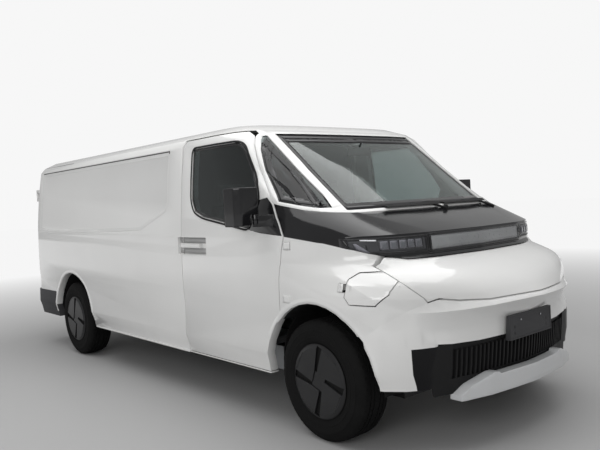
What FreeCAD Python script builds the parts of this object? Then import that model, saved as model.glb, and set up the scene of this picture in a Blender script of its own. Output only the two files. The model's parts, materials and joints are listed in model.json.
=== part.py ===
import FreeCAD, Part
import math
import os

# Panel van, millimetres. X points forward, Y to the vehicle's left, Z up.
# The origin is on the ground, halfway along the vehicle.

SIZES = (
    ("body_length", 5490),
    ("front_overhang", 880),
    ("rear_overhang", 1010),
    ("half_width", 990),
    ("roof_height", 1985),
    ("tyre_radius", 356),
    ("tyre_width", 235),
    ("tyre_bead_radius", 212),
    ("wheel_face_in", 20),
    ("rim_radius", 205),
    ("rim_wall", 12),
    ("rim_width", 190),
    ("cover_radius", 220),
    ("cover_set", 22),
    ("tyre_shoulder", 34),
    ("cover_depth", 28),
    ("disc_wall", 26),
    ("hub_radius", 62),
    ("hub_bore", 29.3),
    ("seat_gap", 0.3),
    ("hub_length", 140),
    ("spindle_radius", 29),
    ("arch_radius", 456),
    ("arch_liner_wall", 8),
    ("front_well_in", 455),
    ("rear_well_in", 330),
    ("wall", 60),
    ("roof_wall", 45),
    ("skin", 24),
    ("gap", 8),
    ("glass_set", 6),
    ("glass_wall", 6),
    ("flat_limit", 0.001),
    ("rear_corner", 70),
    ("corner_facets", 3),
    ("round_facets", 36),
    ("arch_facets", 36),
    ("rear_crown", 14),
    ("bumper_step", 41),
    ("door_rear", 1430),
    ("door_low", 341),
    ("door_hinge_ahead", -205),
    ("door_hinge_in", 22),
    ("door_hinge_low_share", 0.4131),
    ("door_hinge_high_share", 0.5743),
    ("door_hinge_eye", 8),
    ("door_hinge_pin", 4),
    ("door_hinge_half", 25),
    ("door_arm_wall", 10),
    ("lid_hinge_ahead", 535),
    ("lid_hinge_share", 0.46801),
    ("lid_pin", 6),
    ("flap_hinge_ahead", 216),
    ("flap_hinge_in", 24),
    ("flap_hinge_share", 0.46096),
    ("flap_hinge_half", 24),
    ("flap_eye", 7.5),
    ("flap_pin", 3.5),
    ("flap_arm_wall", 6),
    ("flap_wall", 8),
    ("flap_gap", 8),
    ("mirror_pin", 8),
    ("grille_face_set", 6),
    ("rib_depth", 16),
    ("rib_pitch", 36),
    ("rib_wall", 12),
    ("rib_span", 640),
    ("rib_low_share", 0.20655),
    ("press_depth", 5),
    ("slot_depth", 16),
    ("slot_inner", 46),
    ("slot_wall", 22),
    ("plate_width", 440),
    ("plate_height", 140),
    ("plate_rim", 8),
    ("plate_hole_radius", 3.5),
    ("plate_hole_span", 210),
    ("wiper_length", 520),
    ("wiper_rise", 12),
    ("wiper_wall", 13),
    ("floor_low", 500),
    ("floor_wall", 40),
    ("bulkhead_back", 1500),
    ("bulkhead_wall", 30),
    ("firewall_ahead", 120),
    ("firewall_wall", 25),
    ("rear_door_low_share", 0.32242),
    ("rear_door_in", 110),
    ("rear_door_split", 4),
    ("rear_door_lap", 10),
    ("rear_hinge_in", 65),
    ("rear_hinge_back", 10),
    ("rear_hinge_radius", 12),
    ("rear_hinge_pin", 5),
    ("rear_hinge_half", 62),
    ("rear_hinge_eye", 25),
    ("rear_hinge_low_share", 0.3587),
    ("rear_hinge_high_share", 0.8111),
    ("rear_strap_wall", 24),
    ("rear_strap_reach", 145),
    ("lid_in", 175),
    ("battery_length", 2150),
    ("battery_in", 350),
    ("battery_wall", 165),
    ("rail_in", 520),
    ("rail_width", 90),
    ("rail_wall", 96),
    ("motor_length", 420),
    ("motor_radius", 150),
    ("kingpin_in", 300),
    ("post_radius", 26),
    ("post_low", 235),
    ("post_high", 545),
    ("arm_wall", 26),
    ("axle_radius", 42),
    ("seat_width", 520),
    ("bench_width", 900),
    ("wheel_rim_radius", 190),
    ("grip_radius", 14),
    ("column_length", 330),
    ("column_radius", 24),
    ("mirror_reach_out", 210),
    ("mirror_axis_out", 60),
    ("mirror_axis_back", 415),
    ("mirror_low_share", 0.63879),
    ("mirror_high_share", 0.75819),
    ("mirror_arm_share", 0.67305),
    ("mirror_back", 545),
    ("mirror_fore", 400),
)

# Waterlines of the body: height, half width, front reach and rear reach as
# shares of roof height, half width, front overhang and body length; then how
# far back the nose curve starts, its fullness, and how much the walls lean.
WATERLINE_SHARES = (
    (0.1642, 0.966, 0.845, 0.4920, 0.55, 0.84, 1.0, 1.0, 0.0),
    (0.2015, 0.980, 0.850, 0.4925, 0.57, 0.84, 1.0, 1.0, 0.0),
    (0.2348, 1.000, 0.860, 0.4926, 0.59, 0.84, 1.0, 1.0, 0.0),
    (0.3526, 0.992, 0.885, 0.4920, 0.61, 0.84, 1.0, 1.0, 0.0),
    (0.4030, 1.000, 1.000, 0.4915, 0.72, 0.84, 1.0, 1.2, 0.0),
    (0.4383, 1.000, 0.940, 0.4912, 0.80, 0.83, 1.0, 1.5, 0.0),
    (0.4685, 1.000, 0.855, 0.4911, 0.95, 0.81, 1.0, 1.8, 0.0),
    (0.4962, 0.999, 0.740, 0.4910, 1.02, 0.80, 1.0, 2.2, 0.0),
    (0.5214, 0.998, 0.600, 0.4910, 0.98, 0.78, 1.0, 1.9, 0.0),
    (0.5370, 0.997, 0.557, 0.4910, 0.92, 0.78, 1.0, 1.2, 0.0),
    (0.5995, 0.993, 0.545, 0.4908, 0.90, 0.78, 1.0, 2.4, 0.0),
    (0.6640, 0.985, 0.108, 0.4906, 0.66, 0.90, 1.0, 2.2, 0.0),
    (0.8060, 0.960, -0.288, 0.4890, 0.84, 0.90, 1.0, 1.6, 0.0),
    (0.9300, 0.930, -0.659, 0.4820, 0.49, 0.90, 1.0, 1.6, 0.0),
    (0.9542, 0.894, -0.750, 0.4775, 0.40, 0.90, 0.9, 1.6, 0.3),
    (0.9798, 0.788, -0.900, 0.4690, 0.32, 0.86, 0.7, 1.2, 0.9),
    (0.9934, 0.566, -1.130, 0.4540, 0.25, 0.81, 0.4, 0.8, 1.0),
    (1.0000, 0.303, -1.480, 0.4300, 0.20, 0.78, 0.2, 0.5, 1.0),
)

DOC = FreeCAD.newDocument("panel_van")
SHEET = DOC.addObject("Spreadsheet::Sheet", "Sizes")
MADE = []


def fill_sheet():
    for row, (alias, value) in enumerate(SIZES, start=1):
        SHEET.set("A%d" % row, alias.replace("_", " "))
        SHEET.set("B%d" % row, str(value))
        SHEET.setAlias("B%d" % row, alias)
    DOC.recompute()


def size(name):
    return float(SHEET.get(name))


def vec(x, y, z):
    return FreeCAD.Vector(x, y, z)


def front_axle():
    return size("body_length") / 2 - size("front_overhang")


def rear_axle():
    return size("rear_overhang") - size("body_length") / 2


def ahead(distance):
    return front_axle() + distance


def up(share):
    return size("roof_height") * share


def inward(alias):
    """Distance from the middle of a place measured in from the body's side."""
    return size("half_width") - size(alias)


def roof_edge():
    """Height of the line where the sides meet the roof."""
    return up(WATERLINE_SHARES[14][0])


def add(label, shape, place=None):
    """Keeps one finished sub-part in the document."""
    item = DOC.addObject("Part::Feature", label)
    item.Label = label
    if shape.ShapeType == "Compound" and len(shape.Solids) == 1:
        shape = shape.Solids[0]
    item.Shape = shape
    if place is not None:
        item.Placement = place
    MADE.append(item)
    return item


def keep(item, label):
    item.Label = label
    MADE.append(item)
    return item


def mirrored(shape):
    return shape.mirror(vec(0, 0, 0), vec(0, 1, 0))


def both(name, shape):
    """A right-hand piece and its twin on the left."""
    add(name + "_right", shape)
    add(name + "_left", mirrored(shape))


# Prisms cut from flat outlines

def outline_face(points):
    loop = points + [points[0]]
    return Part.Face(Part.makePolygon(loop))


def side_prism(points, near, far):
    """Outline in X and Z, drawn out along Y."""
    face = outline_face([vec(x, near, z) for x, z in points])
    return face.extrude(vec(0, far - near, 0))


def plan_prism(points, low, high):
    face = outline_face([vec(x, y, low) for x, y in points])
    return face.extrude(vec(0, 0, high - low))


def front_prism(points, back, fore):
    face = outline_face([vec(back, y, z) for y, z in points])
    return face.extrude(vec(fore - back, 0, 0))


def block(low, high):
    return Part.makeBox(high[0] - low[0], high[1] - low[1], high[2] - low[2], vec(*low))


def drum(radius, start, end):
    axis = vec(*end) - vec(*start)
    return Part.makeCylinder(radius, axis.Length, vec(*start), axis)


# The body's outer form

# How far along the nose curve its corners lie, from the middle to the side
NOSE_SPOT_SHARES = (0.0, 0.22, 0.36, 0.46, 0.54, 0.64, 0.78, 1.0)


def nose_spots(half, tip, base, full, z):
    """Corners along a cubic curve from the middle of the nose to its right side."""
    reach = (tip - base) * full
    poles = (vec(tip, 0, z), vec(tip, -half * full, z), vec(base + reach, -half, z), vec(base, -half, z))
    spots = []
    for t in NOSE_SPOT_SHARES:
        rest = 1 - t
        weights = (rest ** 3, 3 * t * rest ** 2, 3 * t ** 2 * rest, t ** 3)
        spot = vec(0, 0, 0)
        for pole, weight in zip(poles, weights):
            spot = spot + pole * weight
        spots.append(spot)
    return spots


def waterline(shares, inset, tail):
    """The right half of a level outline, from the middle of the nose to the middle of the tail."""
    level, width, reach, back, curl, full, side_lean, nose_lean, top_lean = shares
    z = up(level) - inset * top_lean
    half = size("half_width") * width - inset * side_lean
    tip = ahead(size("front_overhang") * reach) - inset * nose_lean
    rear = tail - size("body_length") * back + inset
    corner = max(size("rear_corner") - inset, size("rear_corner") / 4)
    bow = rear + size("rear_crown")
    spots = nose_spots(half, tip, tip - size("front_overhang") * curl, full, z)
    facets = int(size("corner_facets"))
    for step in range(facets + 1):
        angle = math.radians(90 * step / facets)
        spots.append(vec(bow + corner * (1 - math.sin(angle)), -half + corner * (1 - math.cos(angle)), z))
    return spots + [vec(rear, 0, z)]


def patch(a, b, c, d):
    """One flat face through four corners, or two where they aren't level."""
    normal = (b - a).cross(d - a)
    if abs(normal.dot(c - a)) < normal.Length * size("flat_limit"):
        return [outline_face([a, b, c, d])]
    return [outline_face([a, b, c]), outline_face([a, c, d])]


def closed(faces):
    """The solid inside a closed set of faces."""
    shell = Part.makeShell(faces)
    shell.sewShape()
    solid = Part.makeSolid(shell)
    if solid.Volume < 0:
        solid.reverse()
    return solid


def stacked(rows):
    """A solid through right-hand half outlines from low to high, with its mirror image."""
    faces = []
    for low, high in zip(rows, rows[1:]):
        for a, b, c, d in zip(low, low[1:], high[1:], high):
            faces += patch(a, b, c, d)
    faces += [mirrored(face) for face in faces]
    for row in (rows[0], rows[-1]):
        faces.append(outline_face(row + [vec(spot.x, -spot.y, spot.z) for spot in reversed(row[1:-1])]))
    return closed(faces)


def body_form(inset, tail=0.0, deep=0.0):
    """The closed outer form of the body, drawn in by an inset."""
    rows = [waterline(shares, inset, tail) for shares in WATERLINE_SHARES]
    if deep:
        rows.insert(0, [spot - vec(0, 0, deep) for spot in rows[0]])
    return stacked(rows)


def many_sided(radius, start, end, sides):
    """A drum with flat sides between two points."""
    way = vec(*end) - vec(*start)
    across = vec(0, 0, 1).cross(way)
    if not across.Length:
        across = vec(1, 0, 0)
    across.normalize()
    over = way.cross(across).normalize()
    spots = []
    for step in range(sides):
        angle = math.radians(360 * (step + 0.5) / sides)
        spots.append(vec(*start) + across * (radius * math.cos(angle)) + over * (radius * math.sin(angle)))
    return outline_face(spots).extrude(way)


def turned(points, x, z, sides):
    """A closed outline of Y and radius taken round a wheel's axis in flat steps."""
    rings = []
    for y, radius in points:
        ring = []
        for step in range(sides):
            angle = math.radians(360 * (step + 0.5) / sides)
            ring.append(vec(x + radius * math.cos(angle), y, z + radius * math.sin(angle)))
        rings.append(ring)
    faces = []
    for low, high in zip(rings, rings[1:] + rings[:1]):
        for step in range(sides):
            after = (step + 1) % sides
            corners = [low[step], low[after], high[after], high[step]]
            faces.append(outline_face(corners))
    return closed(faces)


def arches(radius, inside):
    """Wheel-arch cylinders on the right side, front then rear."""
    wide = size("half_width") * 2
    pair = []
    for x, reach in ((front_axle(), inside[0]), (rear_axle(), inside[1])):
        pair.append(many_sided(radius, (x, -wide, size("tyre_radius")), (x, -reach, size("tyre_radius")),
                               int(size("arch_facets"))))
    return pair


def right_box(inside):
    """Everything on the right, outboard of a plane."""
    far = size("body_length")
    return block((-far, -far, -far), (far, -inside, far))


FORMS = {}


def form(name):
    """Forms used more than once are made once."""
    makers = {
        "outer": lambda: body_form(0),
        "skin": lambda: body_form(size("skin"), deep=size("skin") * 4),
        "wall": lambda: body_form(size("wall"), deep=size("wall") * 4),
        "glass_out": lambda: body_form(size("glass_set")),
        "glass_in": lambda: body_form(size("glass_set") + size("glass_wall"), deep=size("wall")),
        "tail": lambda: body_form(0, tail=-size("bumper_step")),
        "wall_shell": lambda: form("outer").cut(form("wall")),
        "skin_shell": lambda: form("outer").cut(form("skin")),
        "wall_half": lambda: form("wall_shell").common(right_box(0)),
        "glass_shell": lambda: form("glass_out").cut(form("glass_in")),
        "press_form": lambda: body_form(size("press_depth"), deep=size("wall")),
        "grille_face": lambda: body_form(size("grille_face_set")),
        "grille_recess": lambda: body_form(size("grille_face_set") + size("rib_depth"), deep=size("wall")),
        "flap_form": lambda: body_form(size("flap_wall"), deep=size("wall")),
        "glass_flank": lambda: form("glass_shell").common(right_box(size("half_width") * 0.745)),
        "wall_flank": lambda: form("wall_shell").common(right_box(size("half_width") / 2)),
        "skin_flank": lambda: form("skin_shell").common(right_box(size("half_width") / 2)),
    }
    if name not in FORMS:
        FORMS[name] = makers[name]()
    return FORMS[name]


# Outlines seen from the side: X ahead of the front axle and Z

def side_outline(rows):
    return [(ahead(x), z) for x, z in rows]


def door_outline(grow, taper=1.0):
    """The door's edge, or its opening when grown by the gap."""
    gap = size("gap")
    axle = size("tyre_radius")
    low = size("door_low") - grow
    top = roof_edge() - gap + grow
    rear = -size("door_rear") - grow
    rows = [
        (rear, low),
        (rear, up(0.8)),
        (rear + taper * gap * 1.5, top),
        (-735 + grow * 0.7, top),
        (-700 + grow, up(0.942)),
        (-533 + grow, up(0.8076)),
        (-359 + grow, up(0.7028)),
        (-247 + grow, up(0.601)),
        (-268 + grow, up(0.5622)),
        (-296 + grow, up(0.47)),
        (-308 + grow, up(0.36)),
    ]
    reach = size("arch_radius") + gap - grow
    for share in (0.62, 0.4, 0.2, 0.0):
        rise = reach * share
        if axle + rise > low:
            rows.append((-math.sqrt(reach * reach - rise * rise), axle + rise))
    foot = low - axle
    rows.append((-math.sqrt(reach * reach - foot * foot), low))
    return side_outline(rows)


def window_outline(grow):
    rows = (
        (-1290 - grow, up(0.915) + grow),
        (-765 + grow * 0.6, up(0.915) + grow),
        (-707 + grow, up(0.9) + grow),
        (-528 + grow, up(0.766)),
        (-502 + grow, up(0.718)),
        (-593 + grow, up(0.6257) - grow),
        (-1136, up(0.6685) - grow),
        (-1250 - grow * 0.7, up(0.69) - grow * 0.7),
        (-1290 - grow, up(0.731)),
    )
    return side_outline(rows)


def band_outline():
    rows = (
        (-247, up(0.6015)),
        (-235, up(0.6015)),
        (65, up(0.5823)),
        (230, up(0.5612)),
        (340, up(0.5420)),
        (430, up(0.5300)),
        (700, up(0.5245)),
        (700, up(WATERLINE_SHARES[11][0])),
        (60, up(WATERLINE_SHARES[11][0])),
        (-141, up(0.6811)),
        (-350, up(0.7028)),
        (-350, up(0.6015)),
    )
    return side_outline(rows)


def windscreen_outline(grow):
    low = up(0.6720) - grow
    high = up(0.9400) + grow
    foot = size("half_width") * 0.699 + grow
    head = size("half_width") * 0.679 + grow
    return [(-foot, low), (foot, low), (head, high), (-head, high)]


def quarter_outline(grow):
    rows = (
        (-664 - grow, up(0.9315) + grow * 0.4),
        (-640 - grow * 0.2, up(0.9345) + grow),
        (-26 + grow * 2, up(0.6830) - grow * 0.3),
        (-70, up(0.6830) - grow),
        (-325 - grow, up(0.7090) - grow),
        (-502 - grow, up(0.8076)),
    )
    return side_outline(rows)


def cab_frame_outline():
    rows = (
        (-350, up(0.7028)),
        (-141, up(0.6811)),
        (60, up(WATERLINE_SHARES[11][0])),
        (700, up(WATERLINE_SHARES[11][0])),
        (700, roof_edge()),
        (-1000, roof_edge()),
        (-1000, up(0.86)),
    )
    return side_outline(rows)


def nose_split_low():
    """Line between bonnet or wing above and bumper below."""
    return [(373, up(0.3325)), (725, up(0.4325)), (900, up(0.4062)), (1200, up(0.4062))]


# Panels

def panel(outline, shell, near=None, far=0.0):
    """The piece of a shell inside a side outline."""
    near = -size("half_width") * 2 if near is None else near
    return shell.common(side_prism(outline, near, far))


def build_roof():
    high = size("roof_height") * 2
    top = block((-size("body_length"), -high, roof_edge()), (size("body_length"), high, high))
    inner = body_form(size("roof_wall"))
    add("roof_panel", form("outer").common(top).cut(inner))


def side_panel_shape():
    gap = size("gap")
    wide = size("half_width") * 2
    rear = -size("body_length")
    edge = -size("door_rear")
    low = up(WATERLINE_SHARES[0][0])
    bumper = up(0.3023)
    split = rear_axle() - front_axle() - size("arch_radius") * 0.97
    rows = [
        (rear, bumper),
        (split, bumper),
        (split, low),
        (-size("arch_radius") - gap, low),
        (-size("arch_radius") - gap, size("door_low") - gap),
        (edge, size("door_low") - gap),
        (edge, roof_edge()),
        (rear, roof_edge()),
    ]
    shape = panel(side_outline(rows), form("wall_flank")).common(right_box(size("half_width") * 0.82))
    shape = shape.cut(side_prism(door_outline(gap, 0.0), -wide, 0))
    deep = side_prism(door_outline(gap * 2.2, 0.0), -wide, 0).common(form("skin"))
    low_cut = block((rear, -wide, size("door_low")), (-rear, 0, roof_edge()))
    shape = shape.cut(deep.common(low_cut))
    shape = shape.cut(handle_pocket())
    for arch in arches(size("arch_radius"), (0, 0)):
        shape = shape.cut(arch)
    side = inward("rear_door_in") + gap
    hole = block((-size("body_length"), -side, up(size("rear_door_low_share")) - gap), (rear_axle(), 0, size("roof_height")))
    shape = shape.cut(hole)
    inner = form("skin").common(block((-size("body_length"), -side - gap, up(size("rear_door_low_share")) - gap * 2),
                                      (rear_axle() - size("arch_radius"), 0, roof_edge())))
    return shape.cut(inner)


def press_outline():
    """The long pressed field of the load side."""
    base = rear_axle() - front_axle()
    rows = ((-1640, 0.9190), (base - 730, 0.9190), (base - 775, 0.6290), (-2274, 0.6080), (-2089, 0.6240),
            (-1675, 0.6950), (-1640, 0.7300))
    return side_outline([(x, up(share)) for x, share in rows])


def build_side_panels():
    shape = side_panel_shape()
    lamp = shape.common(tail_lamp_box()).cut(form("skin"))
    press = side_prism(press_outline(), -size("half_width") * 2, 0).cut(form("press_form"))
    shape = shape.cut(lamp).cut(press).fuse([rear_leaf(z) for z in rear_hinge_heights()])
    both("side_panel", shape.removeSplitter())
    add("tail_lamps", Part.makeCompound([lamp, mirrored(lamp)]))


def tail_lamp_box():
    half = size("half_width")
    return block((-size("body_length"), -half * 0.972, up(0.40)), (rear_axle() - size("arch_radius") * 1.8,
                                                                  -half * 0.908, up(0.62)))


def door_shell():
    shape = panel(door_outline(0), form("wall_flank")).common(right_box(size("half_width") * 0.82))
    return shape.cut(side_prism(window_outline(0), -size("half_width") * 2, 0))


def mirror_base_outline():
    rows = (
        (-590, up(0.6230)),
        (-499, up(0.7180)),
        (-420, up(0.7240)),
        (-368, up(0.7010)),
        (-258, up(0.6040)),
        (-468, up(0.6130)),
    )
    return side_outline(rows)


def handle_pocket():
    """The finger recess that straddles the door's rear edge."""
    y = -size("half_width")
    z = up(0.565)
    x = ahead(-size("door_rear"))
    return block((x - 52, y - 60, z - 62), (x + 330, y + 26, z + 62))


def handle_bar():
    """The pull bar and its two feet in the recess."""
    y = -size("half_width")
    z = up(0.566)
    x = ahead(-size("door_rear"))
    bar = block((x + 8, y - 6, z - 14), (x + 262, y + 8, z + 14))
    feet = []
    for spot in (x + 14, x + 238):
        feet.append(block((spot, y - 2, z - 10), (spot + 18, y + 27, z + 10)))
    return bar.fuse(feet)


def bent_bar(points, wall, low, high):
    """A flat bar that follows a plan path, with mitred corners."""
    ways = []
    for start, end in zip(points, points[1:]):
        run = math.hypot(end[0] - start[0], end[1] - start[1])
        ways.append(((end[0] - start[0]) / run, (end[1] - start[1]) / run))
    left = []
    right = []
    for (x, y), before, after in zip(points, ways[:1] + ways, ways + ways[-1:]):
        along_x = before[0] + after[0]
        along_y = before[1] + after[1]
        scale = wall / (along_x * before[0] + along_y * before[1])
        left.append((x - along_y * scale / 2, y + along_x * scale / 2))
        right.append((x + along_y * scale / 2, y - along_x * scale / 2))
    return plan_prism(left + right[::-1], low, high)


def door_hinge(height, path):
    """Gooseneck arm, pin and the room they need, for one door hinge."""
    x = ahead(size("door_hinge_ahead"))
    y = -inward("door_hinge_in")
    eye = size("door_hinge_eye")
    half = size("door_hinge_half")
    inner = half - eye
    ring = many_sided(eye, (x, y, height - inner), (x, y, height + inner), 10)
    arm = bent_bar([(x + a, y + b) for a, b in path], size("door_arm_wall"), height - inner, height + inner)
    hole = drum(size("door_hinge_pin") + size("seat_gap"), (x, y, height - half), (x, y, height + half))
    pin = many_sided(size("door_hinge_pin"), (x, y, height - half - eye), (x, y, height + half + eye), 8)
    room = block((x - eye * 7.5, y - eye * 1.2, height - half), (x + eye * 2, y + size("wall"), height + half))
    return arm.fuse(ring).cut(hole), pin, room


DOOR_ARMS = (
    ("door_hinge_low_share", ((0, 0), (0, 76), (-22, 112), (-70, 100), (-124, 26))),
    ("door_hinge_high_share", ((0, 0), (0, 52), (-18, 76), (-52, 66), (-84, 26))),
)


def door_hinges():
    return [door_hinge(up(size(alias)), path) for alias, path in DOOR_ARMS]


def build_front_doors():
    wide = size("half_width") * 2
    shell = door_shell()
    base = shell.common(side_prism(mirror_base_outline(), -wide, 0)).cut(form("skin"))
    arms = [arm for arm, pin, room in door_hinges()]
    shell = shell.cut(base).cut(handle_pocket()).fuse([handle_bar()] + arms).removeSplitter()
    both("front_door", shell)
    both("mirror_base", base.fuse(mirror_arm().cut(form("outer"))).removeSplitter())
    both("mirror_head", mirror_head())
    both("door_glass", panel(window_outline(0), form("glass_flank")))


def mirror_arm():
    x = ahead(-size("mirror_axis_back"))
    y = -size("half_width") - size("mirror_axis_out")
    low = up(size("mirror_low_share")) - 8
    high = up(size("mirror_arm_share"))
    rows = [(x - 60, y + 110), (x + 84, y + 110), (x + 32, y - 4), (x - 26, y - 4)]
    post = many_sided(22, (x, y, low), (x, y, high), 12)
    pin = drum(size("mirror_pin"), (x, y, low), (x, y, high + size("mirror_pin") * 6))
    return plan_prism(rows, low, high - 6).fuse([post, pin])


def mirror_head():
    x = ahead(-size("mirror_axis_back"))
    y = -size("half_width") - size("mirror_axis_out")
    back = ahead(-size("mirror_back"))
    fore = ahead(-size("mirror_fore"))
    out = -size("half_width") - size("mirror_reach_out")
    arm = up(size("mirror_arm_share")) + size("seat_gap")
    high = up(size("mirror_high_share"))
    low = up(size("mirror_low_share"))
    rows = [(fore - 4, y - 40), (back, y - 62), (back, out + 12), (back + 20, out), (fore - 30, out + 4),
            (fore, out + 36)]
    lower = plan_prism(rows, low, arm)
    rows = [(fore - 4, y + 22), (x - 30, y + 22), (back, y - 60)] + rows[2:]
    upper = plan_prism(rows, arm, high)
    hole = drum(size("mirror_pin") + size("seat_gap"), (x, y, low), (x, y, arm + size("mirror_pin") * 6.5))
    return lower.fuse(upper).removeSplitter().cut(hole)


def build_glass():
    fore = ahead(size("front_overhang"))
    prism = front_prism(windscreen_outline(0), ahead(-size("front_overhang")), fore)
    quarter = panel(quarter_outline(0), form("glass_flank"))
    add("windscreen", form("glass_shell").common(prism))
    add("quarter_glass", Part.makeCompound([quarter, mirrored(quarter)]))


def build_wipers():
    """Two blades with their arms that follow the screen and rest along its foot."""
    skin = body_form(-size("wiper_rise")).cut(form("glass_out"))
    reach = size("wiper_length")
    wall = size("wiper_wall")
    low = up(0.6735)
    shapes = []
    for share in (0.12, 0.69):
        pivot = size("half_width") * share
        rows = [(pivot, low), (pivot - reach, low), (pivot - reach, low + wall * 0.7), (pivot - reach * 0.5, low + wall),
                (pivot - reach * 0.2, low + wall * 1.8), (pivot, low + wall * 1.2)]
        shapes.append(skin.common(front_prism(rows, front_axle() - size("front_overhang"), ahead(size("front_overhang")))))
    add("wipers", Part.makeCompound(shapes))


def build_cab_frame():
    half = size("half_width")
    shape = panel(cab_frame_outline(), form("wall_half"))
    hole = front_prism(windscreen_outline(0), ahead(-size("front_overhang")), ahead(size("front_overhang")))
    cutters = [
        hole,
        side_prism(quarter_outline(0), -half * 2, -half * 0.745),
        side_prism(door_outline(size("gap")), -half * 2, -half * 0.5),
        right_box(0).common(block((-size("body_length"), -half * 2, 0), (ahead(-900), 0, size("roof_height")))),
    ]
    for cutter in cutters:
        shape = shape.cut(cutter)
    add("cab_frame", shape.fuse(mirrored(shape)).removeSplitter())


def build_band():
    wide = size("half_width") * 2
    shape = panel(band_outline(), form("skin_shell"), -wide, wide)
    bar = block((ahead(300), -469, up(0.5390)), (ahead(900), 469, up(0.5972)))
    lamp = block((ahead(150), -900, up(0.5440)), (ahead(900), -469, up(0.5945)))
    shape = shape.cut(side_prism(door_outline(size("gap")), -wide, wide))
    add("light_bar", shape.common(bar))
    lamps = shape.common(lamp)
    add("headlamps", Part.makeCompound([lamps, mirrored(lamps)]))
    shape = shape.cut(bar).cut(lamp).cut(mirrored(lamp))
    add("nose_band", shape)


def band_low_edge(drop):
    """Lower edge of the black band, from the nose back to the door."""
    rows = ((1200, 0.5245), (430, 0.5300), (340, 0.5420), (230, 0.5612), (65, 0.5823), (-235, 0.6015),
            (-330, 0.6015))
    return side_outline([(x, up(share) - drop) for x, share in rows])


def flap_outline(margin):
    rows = ((252, 0.4360), (290, 0.4160), (470, 0.4180), (522, 0.4480), (516, 0.4980), (470, 0.5060),
            (300, 0.5030), (256, 0.4860))
    middle_x = sum(row[0] for row in rows) / len(rows)
    middle_z = sum(row[1] for row in rows) / len(rows)
    spots = []
    for x, share in rows:
        away_x = x - middle_x
        away_z = up(share - middle_z)
        reach = math.hypot(away_x, away_z)
        factor = (reach - margin) / reach
        spots.append((middle_x + away_x * factor, up(middle_z) + away_z * factor))
    return side_outline(spots)


def build_nose():
    wide = size("half_width") * 2
    gap = size("gap")
    side = inward("lid_in")
    split = nose_split_low()
    under = [(ahead(-330), up(0.3325))]
    skin = panel(side_outline(split) + band_low_edge(0) + under, form("skin_flank"))
    slot = block((ahead(335) - gap, -side - gap, up(0.3)), (ahead(1200), side + gap, up(0.62)))
    wing = skin.cut(slot).cut(side_prism(door_outline(gap), -wide, 0))
    wing = wing.cut(arches(size("arch_radius"), (0, 0))[0])
    for arm, pin, room in door_hinges():
        wing = wing.cut(room).fuse(pin)
    lid_pin = many_sided(size("lid_pin"), lid_spot(-side - gap - 20), lid_spot(-side + 20), 8)
    wing = wing.fuse(lid_pin).removeSplitter()
    hole = side_prism(flap_outline(0), -wide, 0)
    flap = skin.cut(slot).common(side_prism(flap_outline(size("flap_gap")), -wide, 0)).cut(form("flap_form"))
    flap = flap.common(right_box(side + gap))
    arm, pin, room = flap_hinge()
    add("charge_flap", flap.fuse(arm).removeSplitter())
    add("wings", Part.makeCompound([wing.cut(hole).cut(room).fuse(pin), mirrored(wing)]))
    lid_rows = side_outline([(x, z + gap) for x, z in split]) + band_low_edge(gap) + [(ahead(300), up(0.3325))]
    lid = panel(lid_rows, form("skin_shell"), -side, side)
    lid = lid.common(block((ahead(350), -side, up(0.3)), (ahead(1200), side, up(0.62))))
    x = ahead(size("lid_hinge_ahead"))
    z = up(size("lid_hinge_share"))
    for turn in (1, -1):
        near, far = sorted((turn * (side - 1), turn * (side - 28)))
        lug = block((x - 18, near, z - 26), (x + 18, far, z + 6))
        hole = drum(size("lid_pin") + size("seat_gap"), lid_spot(turn * (side + 5)), lid_spot(turn * (side - 22)))
        lid = lid.fuse(lug).cut(hole)
    add("bonnet", lid.removeSplitter())


def lid_spot(y):
    """A point on the bonnet's hinge line."""
    return ahead(size("lid_hinge_ahead")), y, up(size("lid_hinge_share"))


def flap_hinge():
    """Gooseneck arm, pin and the room they need, behind the flap's rear edge."""
    x = ahead(size("flap_hinge_ahead"))
    y = -inward("flap_hinge_in")
    z = up(size("flap_hinge_share"))
    half = size("flap_hinge_half")
    eye = size("flap_eye")
    inner = half - eye
    path = ((0, 0), (-6, 34), (24, 56), (70, 40), (76, -3))
    ring = many_sided(eye, (x, y, z - inner), (x, y, z + inner), 10)
    arm = bent_bar([(x + a, y + b) for a, b in path], size("flap_arm_wall"), z - inner, z + inner)
    hole = drum(size("flap_pin") + size("seat_gap"), (x, y, z - half), (x, y, z + half))
    pin = many_sided(size("flap_pin"), (x, y, z - half - eye), (x, y, z + half + eye), 8)
    room = block((x - eye * 2, y - eye * 1.2, z - half), (x + size("wall"), y + size("wall"), z + half))
    return arm.fuse(ring).cut(hole), pin, room


def build_bumper():
    wide = size("half_width") * 2
    top = side_outline(nose_split_low())
    rows = top[:] + side_outline(((1200, up(0.2850)), (860, up(0.2850)), (692, up(0.3108)), (655, up(0.1890)),
                                  (420, up(0.1890))))
    bumper = panel(rows, form("skin_shell"), -wide, wide)
    for arch in arches(size("arch_radius"), (0, 0))[:1]:
        bumper = bumper.cut(arch).cut(mirrored(arch))
    add("front_bumper", bumper)


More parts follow.
